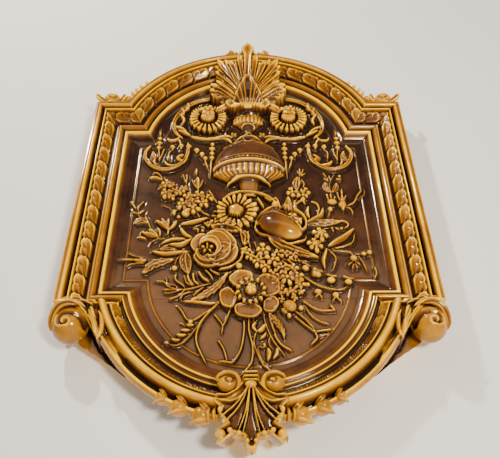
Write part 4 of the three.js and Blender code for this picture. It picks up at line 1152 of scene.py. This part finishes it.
# Free ornament on the frame: closed sleeves round a curve in space
def sleeve(
    piece, points, width, thick, section="round", taper="leaf", count=26, sides=20,
    tones=(0.66, 0.40, 0.08),
):
    # centre line x, z, h; the section is an oval whose half width and half thickness both taper;
    # tones are for the crests, for the hollows between them and for the underside, which is painted shade
    line = curveThrough(points, count)
    ahead = np.gradient(line[:, :2], axis=0)
    ahead /= np.maximum(np.hypot(ahead[:, 0], ahead[:, 1]), 1e-6)[:, None]
    t = np.linspace(0, 1, count)
    size = np.sin(np.pi * (0.02 + 0.96 * t) ** 0.85) ** 0.7
    if taper == "fade":
        size = (1 - 0.62 * t) * np.clip(np.minimum(t, 1 - t) * 8, 0.02, 1) ** 0.5
    angle = np.linspace(0, 2 * np.pi, sides, endpoint=False)
    across, up = np.cos(angle), np.sin(angle)
    crest = share(up) ** 0.6
    if section == "gutter":
        hollow = bell(across, 0.40) * (up > 0)
        up, crest = up - 0.75 * hollow, crest * (1 - hollow)
    elif section == "ridge":
        up = np.where(up > 0, (1 - np.abs(across)) ** 0.8, up)
    normal = np.stack([-ahead[:, 1], ahead[:, 0]], 1)
    half = (width / 2 * size)[:, None]
    x = line[:, :1] + normal[:, :1] * across * half
    z = line[:, 1:2] + normal[:, 1:] * across * half
    h = line[:, 2:3] + up * (thick * np.maximum(size, 0.02))[:, None]
    bright, middle, dark = tones
    # the half that faces the back gets the dark tone as painted shade
    tone = np.where(np.sin(angle) > -0.05, middle + (bright - middle) * crest, dark)[None, :]
    tone = tone * (0.80 + 0.20 * t[:, None])
    points = np.vstack([np.stack([x, z, h], -1).reshape(-1, 3), line[0], line[-1]])
    faces = [gridFaces(count, sides, wrapColumns=True)] + capFans(count, sides)
    piece.add(points, faces, tone=np.r_[tone.ravel(), middle, bright])


def egg(piece, x, z, h, wide, tall, thick, turn=0.0, rows=18, columns=28, shape=None, tone=0.55):
    # ellipsoid with its axis along h, turned in the plane of the tile; shape gives scale and tone
    a = np.linspace(0.04, np.pi - 0.04, rows)[:, None]
    b = np.linspace(0, 2 * np.pi, columns, endpoint=False)[None, :]
    u, v, w = np.sin(a) * np.cos(b), np.sin(a) * np.sin(b), np.cos(a) + 0 * b
    # without a shape, the half towards the back gets painted shade
    scale, tone = shape(u, v, w) if shape else (1.0, np.where(w > -0.2, tone, 0.15))
    u, v, w = u * scale * wide, v * scale * tall, w * scale * thick
    c, s = math.cos(math.radians(turn)), math.sin(math.radians(turn))
    points = np.stack([x + u * c - v * s, z + u * s + v * c, h + w], -1).reshape(-1, 3)
    points = np.vstack([points, points[:columns].mean(0), points[-columns:].mean(0)])
    faces = [gridFaces(rows, columns, wrapColumns=True)] + capFans(rows, columns)
    piece.add(points, faces, tone=np.r_[tone.ravel(), tone[0, 0], tone[-1, 0]])


def reachOf(centre, outline, x, z):
    # distance from the centre to the outline along the ray through each point, and the point's own
    p = np.asarray(outline, float) - centre
    angles, radii = np.arctan2(p[:, 1], p[:, 0]), np.hypot(p[:, 0], p[:, 1])
    reach = np.interp(np.arctan2(z - centre[1], x - centre[0]), angles, radii, period=2 * np.pi)
    return reach, np.hypot(x - centre[0], z - centre[1])


def clearField(level):
    # a fresh field for ornament that stands over the frame
    global heights
    heights = np.full_like(offset, level)
    shade[:] = 0


def pressPlate(centre, outline, level):
    # flat bed with the given outline, rounded off towards its edge
    spot = windowOf(np.asarray(outline, float), 2)
    reach, far = reachOf(centre, outline, meshX[spot], meshZ[spot])
    press(spot, -1.5 * np.exp(-np.maximum(reach - far, 0) / 1.5), reach - far, level, 0)


def patch(piece, centre, outline, skirt, toneOf, rows, columns, width, foot=None):
    # rays from the centre to the outline take their heights from the raster; rings of
    # (share of the ray, level) below the edge turn it into a closed body
    spot = windowOf(np.asarray(outline, float), 8)
    field = heights.copy()
    field[spot] = near = soften(heights[spot], width)
    crestsAndPaintedShade = np.zeros_like(field)
    crestsAndPaintedShade[spot] = 0.5 * np.clip(near - soften(near, 3.2), -2.0, 1.0)
    # the broad term darkens round tall parts as painted shade and pooled glaze
    crestsAndPaintedShade[spot] += 0.35 * np.clip(near - soften(near, 9.0), -4.0, 2.5)
    # painted shade on steep flanks
    crestsAndPaintedShade[spot] -= 0.9 * np.clip(slopeOf(near) - 3.0, 0, 2)
    angle = np.linspace(0, 2 * np.pi, columns, endpoint=False)[None, :]
    reach = reachOf(centre, outline, centre[0] + np.cos(angle), centre[1] + np.sin(angle))[0]
    at = lambda share: (
        centre[0] + share * reach * np.cos(angle), centre[1] + share * reach * np.sin(angle),
    )
    x, z = at(np.linspace(0.006, 1, rows)[:, None])
    h = sampleField(field, x, z)
    if foot:
        h = np.maximum(h, foot(x, z))
    tone = toneOf(h, sampleField(crestsAndPaintedShade, x, z)) + sampleField(shade, x, z)
    for k, (share, level) in enumerate(skirt):
        sideX, sideZ = at(np.array([[share]]))
        low = foot(sideX, sideZ) - 1.5 if foot else 0
        x, z = np.vstack([x, sideX]), np.vstack([z, sideZ])
        h = np.vstack([h, np.minimum(np.maximum(level, low), h[rows - 1:rows] - 0.4 * (k + 1))])
        tone = np.vstack([tone, np.full((1, columns), 0.36 - 0.10 * k)])
    middle = sampleField(field, np.array(centre[0]), np.array(centre[1]))
    poles = [[*centre, middle], [*centre, h[-1].min()]]
    points = np.vstack([np.stack([x, z, h], -1).reshape(-1, 3), poles])
    faces = [gridFaces(len(x), columns, wrapColumns=True)] + capFans(len(x), columns)
    piece.add(points, faces, tone=np.r_[np.clip(tone, 0, 1.1).ravel(), tone[0].mean(), 0.1])


def mirrored(points):
    return points + [(-x, z) for x, z in points[::-1] if x > 0]


palmetteLook = {
    "centre": (0, 200),
    "edge": [
        (0, 259), (3.2, 258.2), (6.4, 255.6), (8.6, 257.6), (10.6, 255), (11.6, 249), (14, 246.5),
        (40, 240), (48, 226), (50, 205), (52, 190), (50, 170), (42, 150), (24, 148), (0, 152),
    ],
    "bed": [
        (0, 240), (12, 238), (24, 226), (33, 225), (33, 206), (30, 192), (37, 184), (33, 170), (18, 160),
        (0, 157),
    ],
    # width, crest, root, middle, tip
    "lobes": [
        (4.0, 36, (8.6, 225), (8.8, 242), (9.4, 257)), (7, 36.5, (6, 157), (21, 163.5), (38, 154.5)),
        (5.6, 36.5, (20, 169), (29, 175.5), (38.5, 172)), (4.6, 37, (30, 176), (37, 176.5), (43, 174.5)),
        (6.4, 38, (18, 170), (33, 179.5), (45, 180.5)), (7.6, 39, (17, 171), (33, 184), (44.5, 189.5)),
        (9, 38, (9, 158), (17, 160.5), (24.6, 167.5)), (6.0, 39, (14, 173), (27, 185.5), (37.5, 196.8)),
        (3.8, 38.5, (12, 177), (24, 190), (32.2, 200.5)), (5.0, 38.5, (22, 192), (31, 199), (37.5, 205.5)),
        (8.2, 39.5, (11, 179), (25, 198), (38.6, 214.5)), (5.6, 39.5, (20, 200), (31, 213), (39, 224.5)),
        (8.2, 40.5, (9, 183), (25, 211), (36.4, 235)), (6.2, 40.5, (8, 185), (19, 211), (27.4, 235)),
        (7.6, 40, (7, 187), (14.5, 209), (20.6, 232)), (3.0, 39.4, (6, 190), (10.8, 211), (15.2, 232.5)),
        (7.2, 40, (4, 186), (7.4, 216), (10.4, 246)),
    ],
    # three small leaves beside the tip: start, middle, end, width
    "leaves": [
        ((13, 245), (21, 252.5), (29, 243), 6.0), ((25, 246), (21.5, 250), (20, 246), 4.0),
        ((12, 245), (13.6, 250), (16, 249), 4.0),
    ],
}


def pressPalmette():
    look = palmetteLook
    pressPlate(look["centre"], mirrored(look["bed"]), 31)
    for width, crest, root, middle, tip in look["lobes"]:
        for side in (1, -1):
            leaf(flip((root, middle, tip), side), width, crest, "lobe", base=30, moat=4)
    # middle lobe: hollow between two raised edges, widest just under its knob
    spot = windowOf(np.array([[-10.0, 170.0], [10.0, 260.0]]), 0)
    x, z = meshX[spot], meshZ[spot]
    stations = [172, 200, 226, 240, 247, 251.5, 255, 258.4, 258.6]
    half = np.interp(z, stations, [2.4, 4.0, 4.7, 4.9, 7.4, 7.9, 6.4, 2.6, -1])
    level = np.interp(z, [172, 205, 235, 250, 258], [35, 39, 42, 44, 44.5])
    hollow = np.interp(z, [180, 215, 240, 256], [3.4, 2.4, 1.4, 0.6])
    rise = level - hollow * (1 - share(np.abs(x) / np.maximum(half, 0.1)) ** 1.5)
    press(spot, rise, half - np.abs(x), 0, 4)
    shade[spot] -= 0.30 * share((225 - z) / 30) * (np.abs(x) < half * 0.7)
    ball(0, 255.8, 5.4, 5.4, 47.5, base=42)
    # pointed fan in front: flutes between sharp ribs, rising from the urn's collar
    spot = windowOf(np.array([[-25.0, 151.0], [25.0, 200.0]]), 0)
    x, z = meshX[spot], meshZ[spot]
    r, a = np.hypot(x, z - 148), np.degrees(np.abs(np.arctan2(x, z - 148)))
    reach = np.interp(a, [0, 2.5, 5, 13, 23.5, 39, 54, 60, 70], [50.7, 50, 47.2, 39, 32.7, 27, 24.7, 18, 9])
    level = np.interp(r, [6, 10, 16, 22, 30, 40, 51], [23, 26, 31, 36, 41, 44.5, 47]) - 3.5 * (a / 54) ** 2
    wave = np.interp(a, [0, 7, 15.5, 27, 41, 58], [0, 0.5, 1.5, 2.5, 3.5, 4.5])
    flute = np.abs(np.cos(np.pi * wave)) ** 0.6
    rim = bell(reach - r - 0.7, 0.7)
    press(spot, level - 2.4 * flute * share((r - 6) / 10) + 0.8 * rim, reach - r, 0, 3)
    # the fan's low part is lightened to keep it out of that painted shade
    lift = 0.45 * share((35 - level) / 3)
    shade[spot] -= (0.20 * flute * np.clip((52 - r) / 16, 0.1, 1) - 0.20 * rim - lift) * (reach > r)


def buildPalmette():
    piece = Piece("palmette")
    look = palmetteLook
    clearField(12.0)
    pressPalmette()
    # it sinks towards the panel at its lower corners
    near = (np.abs(meshX) > 9) & (heights > 20)
    sink = np.interp(meshZ, [150, 180], [11, 0]) * np.interp(np.abs(meshX), [9, 20], [0.2, 1])
    heights[near] -= sink[near]
    past = lambda x, z: np.where(np.hypot(x, z - panel["archCentre"]) > 148.4, 28.5, 0)
    # painted shade: the palmette darker where it lies below h 28, between its lobes and at its sunk corners
    toneOf = lambda h, crestsAndPaintedShade: 0.43 + 0.42 * crestsAndPaintedShade - 0.75 * share((28 - h) / 5)
    patch(piece, look["centre"], mirrored(look["edge"]), [(1.0, 12)], toneOf, 100, 360, 0.8, past)
    for side in (1, -1):
        for *points, width in look["leaves"]:
            path = [(side * x, z, h) for (x, z), h in zip(points, (31, 34, 32))]
            sleeve(piece, path, width, 4, count=24, sides=14, tones=(0.7, 0.35, 0.1))
    piece.build(edgeShare=0.0)


shellLook = {
    "centre": (0, -204),
    "edge": [
        (0, -169), (6.5, -170), (7.5, -180), (12, -187), (20, -191), (28, -190.5), (29, -195.5),
        (24.5, -200), (26.5, -204), (23, -208.5), (20.5, -212), (23, -214.5), (27.5, -218), (27.5, -223),
        (23, -225.5), (18, -222), (14.5, -219.5), (11.5, -221.5), (7, -221.5), (5, -225), (3, -231.5),
        (0, -233),
    ],
    "ribs": [(24.5, -207.5), (20.0, -210.5), (10.6, -219), (6.8, -219.5)],
    # x, z and size of the rounded lobes
    "lobes": [
        (23.6, -219.6, 9), (16.5, -217, 5.5), (9.5, -219, 5), (24, -202.5, 5), (21.4, -210.5, 4.5),
        (3.2, -225, 4.4),
    ],
    # width, crest and points of the two folds at the shell's shoulder
    "folds": [
        (2.4, 38, [(2, -184), (8, -193), (16, -197), (26.5, -195)]),
        (2.6, 38.6, [(6, -181), (11, -187.5), (19, -192), (28, -191.5)]),
    ],
    # level and width of the bands across the neck
    "neck": [(-170.6, 11), (-174.4, 12.5), (-178.4, 13)],
    "skirt": [(1.02, 32), (1.0, 26), (0.93, 18), (0.80, 8)],
    "loop": [
        (52, -185.5, 30), (30, -193.2, 34.6), (18, -193, 37), (11.2, -187.5, 38), (9.4, -180, 38.5),
        (12.2, -173.6, 38.5), (19, -171, 38), (26, -173.4, 37), (27.6, -178, 36),
    ],
    # x, z, half width, half height and turn of the buds beside the shell
    "buds": [(71.5, -188.5, 5.4, 4.0, 25), (57, -196, 7.4, 5.6, 22), (39, -202.5, 8.0, 6.8, 12)],
}


def addBud(piece, side, x, z, wide, tall, turned):
    # an egg with one leaf below it and one above
    at = lambda *points: [(side * (x + a * wide), z + b * tall, h) for a, b, h in points]
    tones = (0.75, 0.4, 0.1)
    egg(piece, side * x, z, 26, wide * 1.08, tall * 1.12, 9.5, side * turned, tone=0.56)
    lower = at((-0.9, -0.5, 28), (-0.1, -0.75, 32.5), (0.9, -0.9, 30), (1.3, -0.7, 25))
    sleeve(piece, lower, tall * 0.6, 3.0, count=24, sides=14, tones=tones)
    upper = at((-0.9, 0.2, 30), (-0.3, 0.7, 34.5), (0.3, 1.45, 33))
    sleeve(piece, upper, tall * 0.7, 3.0, "gutter", count=24, sides=16, tones=tones)


def buildShell():
    piece = Piece("shell")
    look = shellLook
    clearField(12.0)
    edge = mirrored(look["edge"])
    centre = look["centre"]
    pressPlate(centre, edge, 32)
    inset = [(x * 0.91, centre[1] + (z - centre[1]) * 0.90) for x, z in edge if z < -198]
    leaf(inset, 6.6, 38.4, "line", base=31, moat=1.0)
    for side in (1, -1):
        for x, z, r in look["lobes"]:
            ball(side * x, z, r, r * 0.9, 39.4, base=32, moat=1.4)
        for x, z in look["ribs"]:
            path = [
                (side * (0.6 + x * 0.05), -184), (side * x * 0.40, -186 + (z + 186) * 0.50), (side * x, z),
            ]
            leaf(path, 2.3, 37.6, "line", base=31.4, moat=1.2)
        for width, crest, points in look["folds"]:
            leaf(flip(points, side), width, crest, "line", base=31, moat=1.4)
    for z, w in look["neck"]:
        leaf([(-w / 2, z), (w / 2, z)], 2.8, 37.4, "line", base=31)
    ball(-0.3, -183.0, 10, 7.6, 38, base=32, moat=0.8)
    # the upper half stands over the torus of the bowl
    spot = windowOf(np.array(edge, float), 0)
    lift = np.interp(meshZ[spot], [-216, -204, -197, -182, -172], [0, 3.4, 8.6, 7.5, 3.5])
    heights[spot] += lift * (heights[spot] > 20)
    toneOf = lambda h, crestsAndPaintedShade: 0.34 + 0.035 * np.clip(h - 33.5, 0, 6) + 0.24 * crestsAndPaintedShade
    patch(piece, centre, edge, look["skirt"], toneOf, 80, 300, 0.7)
    ringAt = lambda u, v: (np.hypot(u + 0.25, v - 0.35) - 0.42) / 0.12
    groove = lambda u, v, w: np.exp(-(ringAt(u, v) ** 2)) * (w > 0) * (u < 0.3)
    for side in (1, -1):
        # scrolls in which the torus ends
        # painted shade: their tone is lighter towards the front, darker towards the back
        curl = lambda u, v, w: (
            1 - 0.16 * groove(u * side, v, w), 0.56 + 0.12 * w - 0.4 * groove(u * side, v, w),
        )
        egg(piece, side * 19, -179.5, 35, 8.0, 6.4, 6, 0, 24, 40, curl)
        loop = flip(look["loop"], side)
        sleeve(piece, loop, 6.2, 4.6, taper="fade", count=70, sides=18, tones=(0.70, 0.46, 0.08))
        for bud in look["buds"]:
            addBud(piece, side, *bud)
        for x in (28.0, 32.5):
            path = [(side * x, -197, 31), (side * (x + 1.2), -203.5, 34), (side * x, -210, 29)]
            sleeve(piece, path, 3.4, 3.0, count=18, sides=12)
    piece.build(edgeShare=0.10)


# the spiral groove, as its distance from the eye at each angle of turn, and its width
coilLook = {
    "turn": [0, 40, 65, 90, 120, 150, 180, 210, 240, 360],
    "radius": [0.05, 0.14, 0.28, 0.44, 0.55, 0.58, 0.56, 0.62, 0.80, 1.6],
    "widthTurn": [0, 45, 90, 180, 270], "width": [0.05, 0.08, 0.13, 0.13, 0.20],
}


def coil(side):
    # ball with a spiral cut: the groove's distance from the eye grows with the turn from straight down
    def shape(u, v, w):
        du, dv = u * side, v + 0.24
        r = np.hypot(du, dv)
        turn = np.mod(np.degrees(np.arctan2(du, -dv)), 360)
        path = np.interp(turn, coilLook["turn"], coilLook["radius"])
        wide = np.interp(turn, coilLook["widthTurn"], coilLook["width"])
        cut = bell(r - path, wide) * (w > -0.1) * (turn < 280)
        ringed = bell(r - 0.20, 0.055) * (w > 0)
        eye = bell(r, 0.10)
        lip = bell(r - path - wide * 1.4, 0.06) * (w > 0) * (turn > 30) * (turn < 130)
        # painted shade: the ball lighter towards its front, darker towards its back
        tone = 0.50 + 0.12 * w - 0.46 * cut + 0.28 * ringed - 0.4 * eye + 0.26 * lip
        return 1 - 0.20 * cut + 0.06 * ringed - 0.10 * eye + 0.03 * lip, np.clip(tone, 0.03, 0.95)
    return shape


consoleLook = {
    "centre": (134, -122),
    # inner side first, then along the frame's foot and round outside, back to the tail on the bowl
    "edge": [
        (98.5, -161.5), (108, -151), (117.5, -140.5), (121.5, -130), (119, -116), (117, -101), (145, -99.5),
        (170.5, -99.5), (172, -106), (170, -113), (160, -121), (152, -129), (141.5, -138), (134, -142.8),
        (127, -147.6), (119, -153.2), (114, -157.3), (103, -165),
    ],
    "crest": [
        (171, -102.5), (158, -102.5), (150, -106), (144.5, -111.5), (139, -118), (130, -131), (121, -142.5),
        (111, -154), (101, -162.5),
    ],
    # kind, width, crest, base, moat and points
    "leaves": [
        ("drop", 6.4, 37, 29, 3, [(128.5, -138), (127, -127), (128, -118), (131.5, -112)]),
        ("drop", 6.4, 38, 29, 3, [(130, -135), (133, -124), (137.5, -116), (139.5, -110.5)]),
        ("drop", 7.0, 39.5, 31, 2, [(168, -104), (157, -103.5), (149, -105), (141.5, -111)]),
        ("drop", 4.4, 37, 29, 2, [(152, -102.5), (144, -102.5), (137, -106.5)]),
        ("line", 3.2, 33, 26, 1, [(168, -101.5), (145, -101.8), (118, -102.0)]),
    ],
    "skirt": [(0.985, 20), (0.96, 12), (0.93, 7)],
    "hood": [
        (150, -106.5, 37), (158, -106.5, 38.5), (165, -109.5, 38), (169.6, -115.5, 35), (171.6, -122.5, 31),
        (170.6, -128, 28),
    ],
    "corner": [(168.5, -104, 29), (171.5, -109, 30), (172, -116, 28)],
}


def pressConsole(side):
    look = consoleLook
    crest = curveThrough(flip(look["crest"], side), 80)
    # sheet: a sharp crest, then a hollow that sinks away from it towards the ball
    spot, across, t = nearPath(crest, 22)
    away = -across * side
    reach = np.interp(t, [0, 0.15, 0.45, 0.62, 0.8, 1.0], [9, 15, 16, 9.5, 5, 2.5])
    sink = np.interp(t, [0, 0.3, 0.6, 1.0], [4, 12, 11, 4])
    top = np.interp(t, [0, 0.2, 0.5, 1.0], [35.5, 38.5, 36, 32.6])
    fall = np.where(away > 0, sink * share(away / reach) ** 0.75, 2.6 * np.abs(away))
    ridge = 1.2 * bell(away, 0.9)
    press(spot, top + ridge - fall, np.where(away > 0, reach - away, 3.0 + away), 0, 3)
    shade[spot] -= 0.14 * share(away / 4) * (away < reach)
    for kind, width, crest, base, moat, points in look["leaves"]:
        leaf(flip(points, side), width, crest, kind, base=base, moat=moat)


def buildConsoles():
    piece = Piece("consoles")
    look = consoleLook
    clearField(12.0)
    pressConsole(1)
    pressConsole(-1)
    toneOf = lambda h, crestsAndPaintedShade: 0.46 + 0.30 * crestsAndPaintedShade
    for side in (1, -1):
        centre = flip([look["centre"]], side)[0]
        patch(piece, centre, flip(look["edge"], side), look["skirt"], toneOf, 68, 270, 0.7)
        egg(piece, side * 156.5, -120.8, 23.5, 15.8, 16.2, 16.8, rows=72, columns=120, shape=coil(side))
        sleeve(
            piece, flip(look["hood"], side), 7.0, 3.4, "gutter", count=44, sides=20,
            tones=(0.75, 0.36, 0.06),
        )
        sleeve(piece, flip(look["corner"], side), 5, 4, count=20, sides=14)
    piece.build(edgeShare=0.12)


finialLook = {
    # width, thickness and points of the leaves round the curled bud
    "leaves": [
        (6.4, 4.4, [(160, 163, 30), (168, 166, 34), (173, 172, 34), (173, 179, 31)]),
        (5.4, 4, [(165, 162, 29), (157, 161, 36), (147, 163, 33)]),
        (6, 4.4, [(149, 161, 30), (143, 167, 34), (142, 177, 33)]),
        (5, 4, [(143, 163, 30), (138, 167, 34), (135, 173, 32)]),
    ],
    "thorns": [(134, 178), (130, 184), (125, 190), (119, 196)],
}


def buildFinials():
    piece = Piece("shoulderFinials")
    for side in (1, -1):
        ringAt = lambda u, v: (np.hypot(u * side + 0.15, v) - 0.5) / 0.12
        # painted shade: the bud's tone is lighter towards the front, darker towards the back
        curl = lambda u, v, w: (1 - 0.20 * np.exp(-(ringAt(u, v) ** 2)) * (w > -0.2), 0.5 + 0.15 * w)
        egg(piece, side * 157, 171, 28, 9.6, 7.6, 9, rows=36, columns=60, shape=curl)
        for wide, thick, points in finialLook["leaves"]:
            sleeve(piece, flip(points, side), wide, thick, "gutter", count=30, sides=18)
        for x, z in finialLook["thorns"]:
            path = flip([(x - 4, z - 3, 29), (x, z, 33), (x + 1.5, z + 5, 30)], side)
            sleeve(piece, path, 4.8, 3.6, "ridge", count=18, sides=12)
    piece.build(edgeShare=0.35)


buildFrame()
buildBowl()
buildPanel()
buildBack()
buildPalmette()
buildShell()
buildConsoles()
buildFinials()
print("pieces ready")

view = {"place": (-0.00599, -0.48895, -0.37457), "turn": (127.714, 0.519, -0.426), "lens": 43.2}


def makeCamera():
    # the turn is in degrees about x, y and z
    lens = bpy.data.cameras.new("viewpoint")
    lens.lens, lens.sensor_width, lens.clip_start, lens.clip_end = view["lens"], 36.0, 0.01, 50.0
    camera = bpy.data.objects.new("viewpoint", lens)
    camera.matrix_world = Matrix.LocRotScale(
        view["place"], Euler([math.radians(a) for a in view["turn"]]), None
    )
    bpy.context.collection.objects.link(camera)
    bpy.context.scene.camera = camera


stageLook = {"wall": (0.82, 0.80, 0.77), "wallGap": 0.0006, "size": 6.0, "floor": -0.9}


def makeStage():
    # a pale wall that the tile hangs on, seen only from its front, and a pale floor below
    bench = Bench("paleWall")
    behind = bench.node("ShaderNodeNewGeometry", out=6)
    paint = bench.node(
        "ShaderNodeBsdfPrincipled", {}, {"Base Color": (*stageLook["wall"], 1), "Roughness": 0.85},
    )
    clear = bench.node("ShaderNodeBsdfTransparent")
    mixed = bench.node("ShaderNodeMixShader", {}, {0: behind, 1: paint, 2: clear})
    bench.node("ShaderNodeOutputMaterial", {}, {0: mixed})
    size, gap, low = stageLook["size"], stageLook["wallGap"], stageLook["floor"]
    sheets = {
        "paleWallSheet": [(-size, gap, low), (size, gap, low), (size, gap, size), (-size, gap, size)],
        "paleFloor": [(-size, -size, low), (size, -size, low), (size, size, low), (-size, size, low)],
    }
    for name, corners in sheets.items():
        mesh = bpy.data.meshes.new(name)
        mesh.from_pydata(corners, [], [(0, 1, 2, 3)])
        mesh.materials.append(bench.material)
        sheet = bpy.data.objects.new(name, mesh)
        bpy.context.collection.objects.link(sheet)
        # the wall lets the light behind it reach the tile's back
        sheet.visible_shadow = name != "paleWallSheet"


lights = [
    # name, place, aimed at, width, height, watts, colour
    ("lowKey", (0.45, -1.15, -0.45), (0, 0, 0), 0.20, 0.20, 19, (1.0, 0.92, 0.78)),
    ("sparkle", (-0.50, -0.75, 0.85), (0, 0, 0.1), 0.06, 0.06, 17, (1.0, 0.95, 0.86)),
    ("ceiling", (0.0, -1.1, 0.44), (0, 0, -0.1), 2.0, 0.40, 5.0, (1.0, 0.84, 0.66)),
    ("backFill", (0.8, 1.8, 0.6), (0, 0, 0), 1.4, 1.4, 22, (1.0, 0.97, 0.93)),
]


room = {"colour": (0.8, 0.76, 0.72, 1), "strength": 0.14}


def makeLights():
    for name, place, aim, wide, tall, watts, colour in lights:
        lamp = bpy.data.lights.new(name, "AREA")
        lamp.shape, lamp.size, lamp.size_y, lamp.energy, lamp.color = "RECTANGLE", wide, tall, watts, colour
        thing = bpy.data.objects.new(name, lamp)
        turn = (Vector(place) - Vector(aim)).to_track_quat("Z", "Y")
        thing.matrix_world = Matrix.LocRotScale(place, turn, None)
        bpy.context.collection.objects.link(thing)
    world = bpy.data.worlds.new("softRoom")
    world.use_nodes = True
    background = world.node_tree.nodes["Background"]
    background.inputs[0].default_value = room["colour"]
    background.inputs[1].default_value = room["strength"]
    bpy.context.scene.world = world


makeCamera()
makeStage()
makeLights()
